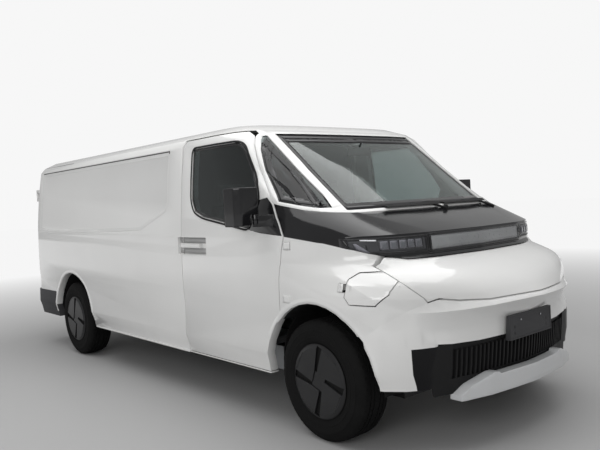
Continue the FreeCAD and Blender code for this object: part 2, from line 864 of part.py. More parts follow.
def build_grille():
    """Black lower panel whose upright ribs follow the curve of the nose."""
    wide = size("half_width") * 2
    low = up(WATERLINE_SHARES[0][0])
    top = up(0.2850)
    rows = side_outline(((692, up(0.3108)), (860, top), (1200, top), (1200, low), (655, low), (655, up(0.1890))))
    face = form("grille_face")
    shape = panel(rows, face.cut(body_form(size("wall"), deep=size("wall") * 2)), -wide, wide)
    span = size("rib_span")
    pitch = size("rib_pitch")
    half = size("rib_wall") / 2
    fore = ahead(size("front_overhang") * 1.2)
    field = block((ahead(size("front_overhang") / 2), -span - half, up(size("rib_low_share"))), (fore, span + half, top + pitch))
    shape = shape.cut(field.cut(form("grille_recess")))
    count = int(span / pitch)
    slats = []
    for step in range(-count, count + 1):
        y = step * pitch
        slats.append(block((ahead(size("front_overhang") / 2), y - half, up(size("rib_low_share")) - half),
                           (fore, y + half, top)))
    ribs = face.cut(body_form(size("wall") * 0.7, deep=size("wall"))).common(Part.makeCompound(slats))
    add("lower_grille", shape.fuse(ribs).removeSplitter())


def lip_outline():
    """The lip seen from the front: pointed ends and a step down along the middle."""
    rows = ((0, 0.2010), (334, 0.2010), (352, 0.2080), (396, 0.2080), (560, 0.1860), (640, 0.1640), (640, 0.1490),
            (0, 0.1490))
    right = [(-y, up(share)) for y, share in rows[1:-1]]
    left = [(y, up(share)) for y, share in reversed(rows[1:-1])]
    return right + left


def build_lip():
    hull = lip_form(0).common(front_prism(lip_outline(), ahead(400), ahead(1200)))
    add("front_lip", hull.cut(form("grille_face")).cut(lip_form(size("wall"))))


def build_plate_bracket():
    """Blank plate carrier: a shallow tray with screw holes and slots."""
    x = ahead(size("front_overhang") * 0.885)
    z = up(0.317)
    half = size("plate_width") / 2
    rise = size("plate_height") / 2
    rim = size("plate_rim")
    front = x + 14
    tray = block((x - 30, -half, z - rise), (front, half, z + rise))
    tray = tray.cut(block((front - rim / 2, -half + rim, z - rise + rim), (front + rim, half - rim, z + rise - rim)))
    hole = size("plate_hole_radius")
    for y in (-size("plate_hole_span") / 2, size("plate_hole_span") / 2):
        tray = tray.cut(drum(hole, (x - 40, y, z + rise / 2), (front + rim, y, z + rise / 2)))
        for spot in (-rise / 2, 0):
            slot = block((x - 40, y * 1.6 - hole, z + spot - rim), (front + rim, y * 1.6 + hole, z + spot + rim))
            tray = tray.cut(slot)
    add("plate_bracket", tray.cut(form("outer")))


def lip_form(inset):
    half = size("half_width") * 0.95 - inset
    tip = ahead(size("front_overhang") * 0.925) - inset
    base = tip - size("front_overhang") * 0.6
    return stacked([nose_spots(half, tip, base, 0.81, z) + [vec(base, 0, z)] for z in (up(0.1), up(0.3))])


def rear_hinge_spot():
    """The rear door's hinge line: its place along X and Y."""
    return -size("body_length") * WATERLINE_SHARES[3][3] - size("rear_hinge_back"), -inward("rear_hinge_in")


def rear_hinge_heights():
    return up(size("rear_hinge_low_share")), up(size("rear_hinge_high_share"))


def rear_pin(height, half, extra=0.0):
    x, y = rear_hinge_spot()
    return drum(size("rear_hinge_pin") + extra, (x, y, height - half), (x, y, height + half))


def rear_strap(height):
    """Eye and strap on the outside of a rear door."""
    x, y = rear_hinge_spot()
    eye = size("rear_hinge_eye")
    back = x - size("rear_hinge_pin")
    fore = back + size("rear_strap_wall")
    edge = -inward("rear_door_in") + size("rear_door_split")
    end = y + size("rear_strap_reach")
    ring = many_sided(size("rear_hinge_radius"), (x, y, height - eye), (x, y, height + eye), 10)
    plate = block((back, y, height - eye), (fore, end, height + eye))
    foot = block((back, edge, height - eye), (fore + size("skin"), end, height + eye))
    return ring.fuse([plate, foot])


def rear_leaf(height):
    """Ears and pin on the body's rear corner."""
    x, y = rear_hinge_spot()
    half = size("rear_hinge_half")
    eye = size("rear_hinge_eye") + 1
    radius = size("rear_hinge_radius")
    pieces = [many_sided(size("rear_hinge_pin"), (x, y, height - half), (x, y, height + half), 8)]
    for low, high in ((height - half, height - eye), (height + eye, height + half)):
        pieces.append(many_sided(radius, (x, y, low), (x, y, high), 10))
        pieces.append(block((x, y - radius, low), (x + radius * 7, y + radius * 2, high)))
    return pieces[0].fuse(pieces[1:])


def rear_face():
    """X of the tail's outer face near the middle of the doors."""
    return -size("body_length") * WATERLINE_SHARES[3][3]


def rear_recess():
    """Finger room behind the rear door's handle."""
    x = rear_face()
    z = up(0.5)
    return block((x - 40, -230, z - 45), (x + 28, -60, z + 45))


def rear_handle():
    x = rear_face()
    z = up(0.5)
    bar = block((x + 2, -212, z - 14), (x + 14, -78, z + 14))
    feet = [block((x + 2, y, z - 10), (x + 34, y + 16, z + 10)) for y in (-212, -94)]
    return bar.fuse(feet)


def rear_plate_room():
    """Shallow recess for a blank plate."""
    x = rear_face()
    half = size("plate_width") / 2
    middle = -inward("rear_door_in") / 2
    return block((x - 40, middle - half - 20, up(0.40)), (x + 20, middle + half + 20, up(0.49)))


def build_rear():
    wide = size("half_width") * 2
    gap = size("gap")
    side = inward("rear_door_in")
    split = size("rear_door_split")
    low = up(size("rear_door_low_share"))
    hole = block((-size("body_length"), -side, low), (rear_axle() - 700, -split, roof_edge() - gap))
    lap = size("rear_door_lap")
    hole = hole.common(block((-size("body_length"), -wide, 0), (rear_axle() - 700, wide, size("roof_height"))))
    narrow = block((-size("body_length"), -side + lap, low), (rear_axle() - 700, -split - lap,
                                                               roof_edge() - gap))
    door = form("outer").common(hole).cut(form("skin"))
    inner = form("skin").common(narrow).cut(form("wall"))
    shape = door.fuse(inner).fuse([rear_strap(z) for z in rear_hinge_heights()])
    for z in rear_hinge_heights():
        shape = shape.cut(rear_pin(z, size("rear_hinge_eye") * 1.2, size("seat_gap")))
    add("rear_door_right", shape.cut(rear_recess()).fuse(rear_handle()).removeSplitter())
    add("rear_door_left", mirrored(shape.cut(rear_plate_room())).removeSplitter())
    split_x = rear_axle() - size("arch_radius") * 0.97
    rows = [(-size("body_length"), up(0.168)), (split_x, up(0.168)), (split_x, up(0.3023)),
            (-size("body_length"), up(0.3023))]
    inner = form("wall")
    bumper = form("tail").common(side_prism(rows, -wide, wide)).cut(inner)
    for arch in arches(size("arch_radius"), (0, 0))[1:]:
        bumper = bumper.cut(arch).cut(mirrored(arch))
    add("rear_bumper", bumper)


def build_floor():
    low = size("floor_low")
    high = low + size("floor_wall")
    wide = size("half_width") * 2
    back = -size("body_length")
    load = form("wall").common(block((back, -wide, low), (ahead(-470), wide, high)))
    inside = inward("front_well_in")
    nose = form("wall").common(block((ahead(-470), -inside, low), (ahead(size("firewall_ahead")), inside, high)))
    shape = load.fuse(nose)
    wall = size("arch_liner_wall")
    for arch in arches(size("arch_radius") + wall, (inside, inward("rear_well_in") - wall)):
        shape = shape.cut(arch).cut(mirrored(arch))
    side = inward("rail_in")
    rail = size("rail_width")
    drop = size("rail_wall")
    for y in (-side - rail / 2, side - rail / 2):
        rear = rear_axle() - size("arch_radius") - 250
        shape = shape.fuse(block((rear, y, low - drop), (ahead(size("firewall_ahead")), y + rail, low)))
    middle = rear_axle()
    kick = block((middle - 190, -wide, low - drop), (middle + 190, wide, low - drop / 2))
    add("floor_frame", shape.fuse([firewall(), deck()]).cut(kick).removeSplitter())


def deck():
    """The raised load floor, clear of the walls, the wheel boxes and the bulkhead."""
    gap = size("gap")
    low = size("floor_low") + size("floor_wall")
    high = low + gap
    fore = ahead(-size("bulkhead_back")) - size("bulkhead_wall") - gap
    side = size("half_width") - size("wall") * 2
    well = inward("rear_well_in") - size("arch_liner_wall") - gap * 2
    reach = size("arch_radius") + gap * 2
    back = rear_axle() - size("rear_overhang") + size("wall") * 3.6
    rows = [(fore, side), (rear_axle() + reach, side), (rear_axle() + reach, well), (rear_axle() - reach, well),
            (rear_axle() - reach, side), (back, side)]
    return plan_prism(rows + [(x, -y) for x, y in reversed(rows)], low, high)


def firewall():
    wide = size("half_width") * 2
    fore = ahead(size("firewall_ahead"))
    slab = block((fore, -wide, size("floor_low")), (fore + size("firewall_wall"), wide, up(0.6)))
    wall = form("wall").common(slab)
    arch = arches(size("arch_radius") + size("arch_liner_wall"), (inward("front_well_in"), 0))[0]
    return wall.cut(arch).cut(mirrored(arch))


def build_liners():
    wall = size("arch_liner_wall")
    half = size("half_width")
    sides = (inward("front_well_in"), inward("rear_well_in"))
    outers = arches(size("arch_radius") + wall, (sides[0], sides[1] - wall))
    inners = arches(size("arch_radius"), sides)
    under = block((-size("body_length"), -half * 2, -half), (size("body_length"), half, size("tyre_radius") * 0.94))
    shapes = []
    for outer, inner, bound in zip(outers, inners, (form("skin"), form("wall"))):
        shapes.append(outer.common(bound).cut(inner).cut(under))
    near_door = side_prism(door_outline(size("gap") * 2), -half * 2, -half * 0.86)
    notch = size("axle_radius") + size("gap")
    axle_room = block((rear_axle() - notch, -half, 0), (rear_axle() + notch, 0, size("tyre_radius") + notch))
    for label, shape in (("front_arch_liners", shapes[0].cut(near_door)), ("rear_arch_liners", shapes[1].cut(axle_room))):
        shape = shape.removeSplitter()
        add(label, Part.makeCompound([shape, mirrored(shape)]))


def strut():
    """The fixed strut above a steered knuckle, up to the arch."""
    side = inward("kingpin_in")
    arch = arches(size("arch_radius"), (inward("front_well_in"), inward("rear_well_in")))[0]
    post = many_sided(size("post_radius") * 1.15, (front_axle(), -side, size("post_high") + size("seat_gap")),
                      (front_axle(), -side, size("tyre_radius") + size("arch_radius")), 12)
    return post.common(arch)


def build_cab_walls():
    low = size("floor_low") + size("floor_wall")
    back = ahead(-size("bulkhead_back")) - size("bulkhead_wall")
    wide = size("half_width") * 2
    slab = block((back, -wide, low), (back + size("bulkhead_wall"), wide, roof_edge()))
    add("bulkhead", form("wall").common(slab))
    rows = ((-330, 0.50), (-345, 0.585), (-300, 0.622), (0, 0.632), (60, 0.600), (120, 0.590), (120, 0.45),
            (-180, 0.45))
    prism = side_prism(side_outline([(x, up(z)) for x, z in rows]), -wide, wide)
    inner = body_form(size("wall") + 20)
    half = size("half_width") * 0.88
    inner = inner.common(block((ahead(-400), -half, 0), (ahead(400), half, size("roof_height"))))
    add("dashboard", prism.common(inner).fuse(steering_column()).removeSplitter())


def build_seats():
    back = ahead(-1430)
    low = size("floor_low") + size("floor_wall")
    seats = []
    for centre, width in ((455, size("seat_width")), (-330, size("bench_width"))):
        rows = ((back + 60, low), (back + 520, low), (back + 520, low + 190), (back + 600, low + 230),
                (back + 590, low + 340), (back + 190, low + 320), (back + 120, low + 850), (back + 90, low + 1020),
                (back + 20, low + 1020), (back + 20, low + 300))
        seats.append(side_prism(rows, centre - width / 2, centre + width / 2))
    add("seats", Part.makeCompound(seats))


def steering_hub():
    angle = math.radians(36)
    tilt = vec(-math.cos(angle), 0, math.sin(angle))
    return vec(ahead(-520), 455, up(0.575)), tilt


def steering_column():
    hub, tilt = steering_hub()
    foot = hub - tilt * size("column_length")
    end = hub - tilt * (size("grip_radius") * 2)
    return many_sided(size("column_radius"), tuple(foot), tuple(end), 12)


def build_steering():
    """A turned ring, boss and three spokes, made upright on the Y axis and then set on the column."""
    hub, tilt = steering_hub()
    radius = size("wheel_rim_radius")
    grip = size("grip_radius")
    section = []
    for step in range(6):
        angle = math.radians(60 * step)
        section.append((grip * math.cos(angle), radius + grip * math.sin(angle)))
    shape = turned(section, 0, 0, 28)
    pieces = [many_sided(radius * 0.32, (0, -grip * 0.8, 0), (0, grip * 2, 0), 12)]
    for angle in (0, 180, 270):
        spoke = block((radius * 0.2, -grip * 0.6, -grip), (radius, grip * 0.6, grip))
        spoke.rotate(vec(0, 0, 0), vec(0, 1, 0), -angle)
        pieces.append(spoke)
    shape = shape.fuse(pieces).removeSplitter()
    place = FreeCAD.Placement(hub, FreeCAD.Rotation(vec(0, 1, 0), tilt * -1))
    add("steering_wheel", shape, place)


def wheel_shapes(x):
    face = inward("wheel_face_in")
    z = size("tyre_radius")
    width = size("tyre_width")
    radius = size("tyre_radius")
    bead = size("tyre_bead_radius")
    sides = int(size("round_facets"))
    shoulder = size("tyre_shoulder")
    tread = ((-face + shoulder / 2, bead), (-face, bead + shoulder * 2.6), (-face + shoulder / 2, radius - shoulder * 0.7),
             (-face + shoulder, radius), (-face + width - shoulder, radius),
             (-face + width - shoulder / 2, radius - shoulder * 0.7), (-face + width, bead + shoulder * 2.6),
             (-face + width - shoulder / 2, bead))
    tyre = turned(tread, x, z, sides)
    rim = size("rim_radius")
    wall = size("rim_wall")
    outer = -face + size("cover_set")
    hub = size("hub_radius")
    disc = outer + size("disc_wall")
    tail = outer + size("hub_length")
    barrel = turned(((outer, rim - wall), (outer, bead), (outer + size("rim_width"), bead),
                     (outer + size("rim_width"), rim - wall)), x, z, sides)
    plate = many_sided(rim - wall / 2, (x, outer, z), (x, disc, z), sides)
    boss = many_sided(hub, (x, outer, z), (x, tail, z), 16)
    bore = drum(size("hub_bore"), (x, disc + size("seat_gap"), z), (x, tail + wall, z))
    front = outer - size("cover_depth")
    edge = size("cover_radius")
    rows = ((front, edge - wall * 2), (front + wall, edge), (outer, edge - wall))
    cover = turned(rows + ((outer, hub), (front, hub)), x, z, sides)
    cap = many_sided(hub + wall / 2, (x, front, z), (x, outer, z), sides)
    cover = cover.fuse(cap)
    for turn in range(4):
        cover = cover.cut(cover_slot(x, z, front, turn * 90))
    return tyre, barrel.fuse([plate, boss, cover]).cut(bore).removeSplitter()


def cover_slot(x, z, front, angle):
    """One of the four slots that set the cover's blades apart, and a quarter of the hub's square."""
    inner = size("slot_inner")
    wall = size("slot_wall")
    reach = size("cover_radius") - size("slot_depth") * 1.3
    deep = size("slot_depth")
    spots = [(-inner, 0), (-inner, inner), (-inner - wall, reach), (-inner + wall, reach), (-inner + wall, inner),
             (0, inner), (0, 0)]
    slot = outline_face([vec(x + u, front - 1, z + v) for u, v in spots[1:5]]).extrude(vec(0, deep + 1, 0))
    square = outline_face([vec(x + u, front - 1, z + v) for u, v in (spots[0], spots[1], spots[5], spots[6])])
    shape = slot.fuse(square.extrude(vec(0, deep / 3 + 1, 0)))
    shape.rotate(vec(x, 0, z), vec(0, 1, 0), angle + 20)
    return shape


def build_wheels():
    for name, x in (("front", front_axle()), ("rear", rear_axle())):
        tyre, wheel = wheel_shapes(x)
        both(name + "_tyre", tyre)
        both(name + "_wheel", wheel)


def spindle_end():
    """How far out the spindles reach, just short of the blind hub bore."""
    return inward("wheel_face_in") - size("cover_set") - size("disc_wall") - size("gap")


def build_front_running():
    x = front_axle()
    z = size("tyre_radius")
    side = inward("kingpin_in")
    post = size("post_radius")
    low = size("post_low")
    high = size("post_high")
    upright = many_sided(post, (x, -side, low + post / 2), (x, -side, high), 12)
    stub = drum(post / 2, (x, -side, low), (x, -side, low + post))
    spindle = drum(size("spindle_radius"), (x, -side - post * 2, z), (x, -spindle_end(), z))
    root = many_sided(size("spindle_radius"), (x, -side, z), (x, -side - post * 2, z), 12)
    lug = block((x - 150, -side - 14, z - 50), (x, -side + 14, z - 20))
    both("knuckle", upright.fuse([stub, root, spindle, lug]).removeSplitter())
    wall = size("arm_wall")
    inner = inward("rail_in")
    arm = plan_prism([(x - 200, -inner + 20), (x - 140, -inner + 20), (x, -side + 50), (x + 140, -inner + 20),
                      (x + 200, -inner + 20), (x + 46, -side - 20), (x - 46, -side - 20)], low - wall - size("seat_gap"), low - size("seat_gap"))
    member = block((x - 210, -inner, low - wall - 30), (x + 210, inner, low + 60))
    hollow = block((x - 150, -inner + 60, low - wall - 40), (x + 150, inner - 60, low + 70))
    pieces = [arm, mirrored(arm)]
    top = size("floor_low") - size("rail_wall")
    for spot in (x - 210, x + 60):
        for y in (-inner, inner - 40):
            pieces.append(block((spot, y, low + 60), (spot + 50, y + 40, top)))
    frame = member.cut(hollow).fuse(pieces).removeSplitter()
    add("front_subframe", Part.makeCompound([frame, strut(), mirrored(strut())]))


def build_rear_running():
    x = rear_axle()
    z = size("tyre_radius")
    radius = size("axle_radius")
    reach = inward("rear_well_in") + 20
    beam = many_sided(radius, (x, -reach, z), (x, reach, z), 12)
    spindle = size("spindle_radius")
    pieces = []
    for turn in (-1, 1):
        pieces.append(drum(spindle, (x, turn * (reach - radius), z), (x, turn * spindle_end(), z)))
    top = size("floor_low") - size("rail_wall") / 2
    for y in (-inward("rail_in"), inward("rail_in")):
        pieces.append(many_sided(size("rail_width") * 0.4, (x, y, z), (x, y, top), 8))
    half = size("motor_length") / 2
    pieces.append(many_sided(size("motor_radius"), (x, -half, z - 20), (x, half, z - 20), 16))
    add("rear_axle", beam.fuse(pieces).removeSplitter())


def build_heavy():
    battery = DOC.addObject("Part::Box", "battery_pack")
    battery.setExpression("Length", "Sizes.battery_length")
    battery.setExpression("Width", "(Sizes.half_width - Sizes.battery_in) * 2")
    battery.setExpression("Height", "Sizes.battery_wall")
    battery.setExpression("Placement.Base.x", "(Sizes.rear_overhang - Sizes.front_overhang - Sizes.battery_length) / 2")
    battery.setExpression("Placement.Base.y", "Sizes.battery_in - Sizes.half_width")
    battery.setExpression("Placement.Base.z", "Sizes.floor_low - Sizes.rail_wall - Sizes.battery_wall")
    keep(battery, "battery_pack")


BUILDERS = (
    build_roof,
    build_side_panels,
    build_front_doors,
    build_glass,
    build_wipers,
    build_cab_frame,
    build_band,
    build_nose,
    build_bumper,
    build_grille,
    build_lip,
    build_plate_bracket,
    build_rear,
    build_floor,
    build_liners,
    build_cab_walls,
    build_seats,
    build_steering,
    build_wheels,
    build_front_running,
    build_rear_running,
    build_heavy,
)


def check_and_write():
    DOC.recompute()
    os.makedirs("parts", exist_ok=True)
    for item in MADE:
        for state in ("Invalid", "Error"):
            if state in item.State:
                raise RuntimeError("%s is %s" % (item.Label, state))
        if item.Shape.isNull() or not item.Shape.isValid():
            raise RuntimeError("%s has no valid shape" % item.Label)
        if not item.Shape.Solids:
            raise RuntimeError("%s has no solid" % item.Label)
        item.Shape.exportStep(os.path.join("parts", item.Label + ".step"))


fill_sheet()
for builder in BUILDERS:
    builder()
check_and_write()
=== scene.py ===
import json
import math

import bmesh
import bpy
from mathutils import Matrix, Vector
from mathutils.bvhtree import BVHTree


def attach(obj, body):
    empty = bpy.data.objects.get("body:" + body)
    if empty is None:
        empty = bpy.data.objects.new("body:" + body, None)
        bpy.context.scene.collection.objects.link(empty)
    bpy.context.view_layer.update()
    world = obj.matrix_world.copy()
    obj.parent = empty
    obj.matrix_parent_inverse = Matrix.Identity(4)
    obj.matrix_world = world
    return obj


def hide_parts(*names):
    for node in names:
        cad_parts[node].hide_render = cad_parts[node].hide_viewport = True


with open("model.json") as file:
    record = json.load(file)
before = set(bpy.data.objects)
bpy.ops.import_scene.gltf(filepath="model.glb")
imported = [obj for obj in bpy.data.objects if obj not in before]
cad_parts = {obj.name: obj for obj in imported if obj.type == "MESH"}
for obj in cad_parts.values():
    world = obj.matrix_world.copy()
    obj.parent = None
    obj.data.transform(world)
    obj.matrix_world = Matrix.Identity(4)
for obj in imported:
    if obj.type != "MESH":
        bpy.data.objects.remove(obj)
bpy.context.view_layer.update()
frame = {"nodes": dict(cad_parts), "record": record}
NODES = frame["nodes"]
scene = bpy.context.scene


# Objects, node trees and modifiers

def placed(name, data):
    """A new object in the scene."""
    made = bpy.data.objects.new(name, data)
    scene.collection.objects.link(made)
    return made


def number(tree, operation, *parts):
    """The output of a maths node; each part is a number or another node's output."""
    made = tree.nodes.new("ShaderNodeMath")
    made.operation = operation
    for socket, part in zip(made.inputs, parts):
        if isinstance(part, (int, float)):
            socket.default_value = part
        else:
            tree.links.new(part, socket)
    return made.outputs[0]


def mapped(tree, source, low, high, start=0.0, end=1.0, kind="LINEAR"):
    """Maps a value between start and end to one between low and high."""
    made = tree.nodes.new("ShaderNodeMapRange")
    made.interpolation_type = kind
    for key, value in (("From Min", start), ("From Max", end), ("To Min", low), ("To Max", high)):
        made.inputs[key].default_value = value
    tree.links.new(source, made.inputs["Value"])
    return made.outputs["Result"]


def modify(piece, name, kind, **facts):
    """The piece, with one more modifier."""
    made = piece.modifiers.new(name, kind)
    for key, value in facts.items():
        setattr(made, key, value)
    return piece


# Materials

class Shade:
    """A small helper for building one procedural material."""

    def __init__(self, name):
        self.material = bpy.data.materials.new(name)
        self.material.use_nodes = True
        self.tree = self.material.node_tree
        self.shader = self.tree.nodes["Principled BSDF"]
        self.place = self.node("ShaderNodeTexCoord").outputs["Object"]

    def node(self, kind, **facts):
        made = self.tree.nodes.new(kind)
        for key, value in facts.items():
            setattr(made, key, value)
        return made

    def link(self, source, target):
        self.tree.links.new(source, target)

    def put(self, **values):
        for key, value in values.items():
            self.shader.inputs[key.replace("_", " ")].default_value = value

    def noise(self, scale, detail=4.0, roughness=0.55):
        made = self.node("ShaderNodeTexNoise")
        for key, value in (("Scale", scale), ("Detail", detail), ("Roughness", roughness)):
            made.inputs[key].default_value = value
        self.link(self.place, made.inputs["Vector"])
        return made.outputs["Fac"]

    def ramp(self, source, low, high, start=0.0, end=1.0):
        return mapped(self.tree, source, low, high, start, end)

    def maths(self, operation, *parts):
        return number(self.tree, operation, *parts)

    def axis(self, letter):
        """One coordinate of the shaded place."""
        split = self.node("ShaderNodeSeparateXYZ")
        self.link(self.place, split.inputs["Vector"])
        return split.outputs[letter]

    def mix(self, factor, first, second):
        made = self.node("ShaderNodeMix", data_type="RGBA")
        self.link(factor, made.inputs["Factor"])
        for index, value in ((6, first), (7, second)):
            if isinstance(value, tuple):
                made.inputs[index].default_value = (*value, 1.0)
            else:
                self.link(value, made.inputs[index])
        return made.outputs[2]

    def colour(self, source):
        self.link(source, self.shader.inputs["Base Color"])

    def rough(self, source):
        self.link(source, self.shader.inputs["Roughness"])

    def bump(self, *layers):
        """Each layer is a height source, a strength and a distance in metres."""
        last = None
        for height, strength, distance in layers:
            made = self.node("ShaderNodeBump")
            made.inputs["Strength"].default_value = strength
            made.inputs["Distance"].default_value = distance
            self.link(height, made.inputs["Height"])
            if last is not None:
                self.link(last, made.inputs["Normal"])
            last = made.outputs["Normal"]
        self.link(last, self.shader.inputs["Normal"])


def tint(colour, factor):
    return tuple(min(1.0, part * factor) for part in colour)


DUST = (0.62, 0.60, 0.57)
RUST = (0.09, 0.045, 0.022)
DUST_LOW, DUST_HIGH = 0.30, 0.62


def paint(name, colour, coat=1.0):
    return paint_shade(name, colour, coat).material


def paint_shade(name, colour, coat=1.0):
    """Clear-coated paint with a little dust low down."""
    shade = Shade(name)
    soft = shade.ramp(shade.noise(1.3, 2.0), 0.0, 1.0, 0.35, 0.65)
    clean = shade.mix(soft, tint(colour, 0.985), tint(colour, 1.015))
    low = shade.ramp(shade.axis("Z"), 1.0, 0.0, DUST_LOW, DUST_HIGH)
    spread = shade.ramp(shade.noise(7.0, 6.0), 0.0, 0.16, 0.4, 0.75)
    shade.colour(shade.mix(shade.maths("MULTIPLY", low, spread), clean, DUST))
    shade.rough(shade.ramp(shade.noise(30.0, 3.0), 0.26, 0.34))
    shade.bump((shade.noise(1400.0, 1.0), 0.02, 0.0002), (shade.noise(2.2, 1.0), 0.05, 0.003))
    shade.put(Coat_Weight=coat, Coat_Roughness=0.04, Metallic=0.0)
    return shade


def gloss_black(name, colour=(0.007, 0.007, 0.008), roughness=0.12, coat=0.25):
    shade = Shade(name)
    shade.colour(shade.mix(shade.ramp(shade.noise(3.0), 0.0, 1.0, 0.3, 0.7), colour, tint(colour, 1.5)))
    shade.rough(shade.ramp(shade.noise(45.0, 5.0), roughness * 0.8, roughness * 1.5, 0.3, 0.8))
    shade.bump((shade.noise(6.0, 1.0), 0.04, 0.002))
    shade.put(Coat_Weight=coat, Coat_Roughness=0.03, Specular_IOR_Level=0.35)
    return shade.material


def grained(name, colour, roughness=0.62, scale=900.0, depth=0.0004, speck=0.35):
    shade = Shade(name)
    fine = shade.noise(scale, 2.0)
    wide = shade.noise(4.0, 4.0)
    base = shade.mix(shade.ramp(wide, 0.0, 1.0, 0.3, 0.7), tint(colour, 1 - speck / 2),
                     tint(colour, 1 + speck / 2))
    shade.colour(shade.mix(shade.ramp(fine, 0.0, 0.5, 0.45, 0.75), base, tint(colour, 1 + speck)))
    shade.rough(shade.ramp(wide, roughness - 0.07, roughness + 0.09, 0.3, 0.7))
    shade.bump((fine, 0.5, depth))
    shade.put(Specular_IOR_Level=0.25)
    return shade.material


def metal(name, colour, roughness=0.35, metallic=1.0, rust=0.0):
    shade = Shade(name)
    wide = shade.noise(5.0, 6.0)
    base = shade.mix(shade.ramp(wide, 0.0, 1.0, 0.3, 0.7), tint(colour, 0.85), tint(colour, 1.12))
    spots = shade.ramp(shade.noise(26.0, 8.0, 0.7), 0.0, rust, 0.52, 0.74)
    shade.colour(shade.mix(spots, base, RUST))
    shade.rough(shade.ramp(wide, roughness - 0.08, roughness + 0.16, 0.3, 0.7))
    shade.bump((shade.noise(160.0, 4.0), 0.25, 0.0008))
    shade.put(Metallic=metallic)
    return shade.material


def rubber(name, colour=(0.006, 0.006, 0.006), roughness=0.82):
    shade = Shade(name)
    wide = shade.noise(9.0, 5.0)
    shade.colour(shade.mix(shade.ramp(wide, 0.0, 1.0, 0.35, 0.7), colour, tint(colour, 1.7)))
    shade.rough(shade.ramp(wide, roughness - 0.1, roughness + 0.1, 0.3, 0.7))
    shade.bump((shade.noise(420.0, 3.0), 0.3, 0.0004))
    shade.put(Specular_IOR_Level=0.12)
    return shade.material


def glass(name, colour):
    shade = Shade(name)
    film = shade.ramp(shade.noise(5.0, 6.0), 0.0, 1.0, 0.35, 0.75)
    shade.colour(shade.mix(film, colour, tint(colour, 0.94)))
    shade.put(Transmission_Weight=1.0, Roughness=0.0, IOR=1.45, Coat_Weight=0.0)
    return shade.material


def cloth(name, colour, scale=260.0):
    shade = Shade(name)
    warp = shade.node("ShaderNodeTexWave", wave_type="BANDS", bands_direction="X")
    weft = shade.node("ShaderNodeTexWave", wave_type="BANDS", bands_direction="Z")
    for wave in (warp, weft):
        wave.inputs["Scale"].default_value = scale
        wave.inputs["Distortion"].default_value = 0.6
        shade.link(shade.place, wave.inputs["Vector"])
    weave = shade.maths("MAXIMUM", warp.outputs["Fac"], weft.outputs["Fac"])
    wear = shade.ramp(shade.noise(8.0, 5.0), 0.0, 1.0, 0.35, 0.7)
    base = shade.mix(wear, colour, tint(colour, 1.35))
    shade.colour(shade.mix(shade.ramp(weave, 0.0, 0.5), tint(colour, 0.6), base))
    shade.rough(shade.ramp(wear, 0.82, 0.95))
    shade.bump((weave, 0.6, 0.0008), (shade.noise(500.0, 2.0), 0.3, 0.0003))
    shade.put(Sheen_Weight=0.3, Sheen_Roughness=0.5)
    return shade.material


WHITE = paint("pearl_white", (0.80, 0.80, 0.79))
BLACK = gloss_black("black_panel")
SURFACES = {
    "white_paint": WHITE,
    "black_panel": BLACK,
    "dark_glass": glass("tinted_glass", (0.20, 0.245, 0.245)),
    "screen_glass": glass("screen_glass", (0.50, 0.57, 0.55)),
    "lamp_lens": gloss_black("lamp_cover", (0.02, 0.02, 0.022), 0.06),
    "red_lens": gloss_black("red_lens", (0.25, 0.004, 0.004), 0.1),
    "black_plastic": grained("black_plastic", (0.008, 0.008, 0.0085), 0.55),
    "grey_plastic": grained("grey_plastic", (0.055, 0.055, 0.058), 0.6),
    "silver_plastic": paint("silver_paint", (0.60, 0.61, 0.62), 0.6),
    "tyre_rubber": rubber("tyre_rubber"),
    "wheel_black": gloss_black("wheel_black", (0.005, 0.005, 0.0055), 0.34, 0.0),
    "chassis_steel": metal("chassis_black", (0.05, 0.05, 0.052), 0.5, 0.3, 0.25),
    "forged_steel": metal("forged_steel", (0.30, 0.30, 0.31), 0.42, 1.0, 0.5),
    "liner_felt": grained("liner_felt", (0.008, 0.008, 0.008), 0.95, 350.0, 0.0015),
    "cabin_plastic": grained("cabin_plastic", (0.045, 0.047, 0.05), 0.7, 700.0),
    "seat_cloth": cloth("seat_cloth", (0.06, 0.062, 0.066)),
    "battery_case": metal("battery_case", (0.33, 0.34, 0.35), 0.45, 0.8),
}


def dress_nodes():
    """Gives every CAD node the material of its record slot."""
    for row in frame["record"]["subparts"]:
        node = NODES[row["node"]]
        node.data.materials.clear()
        node.data.materials.append(SURFACES[row["material_slot"]])


dress_nodes()


# The nose's plan: its shoulders are drawn in along both sight lines of the photograph

NOSE_START = 2.20
NOSE_FULL = 2.60
NOSE_SHOULDER = 0.80
NOSE_LOW_DRAW = 0.09
NOSE_LIP_DRAW = 0.165
NOSE_LOW = 0.62
NOSE_LIP = 0.80
NOSE_TOP = 1.00
NOSE_WAY = (-0.61, -0.79, -0.13)


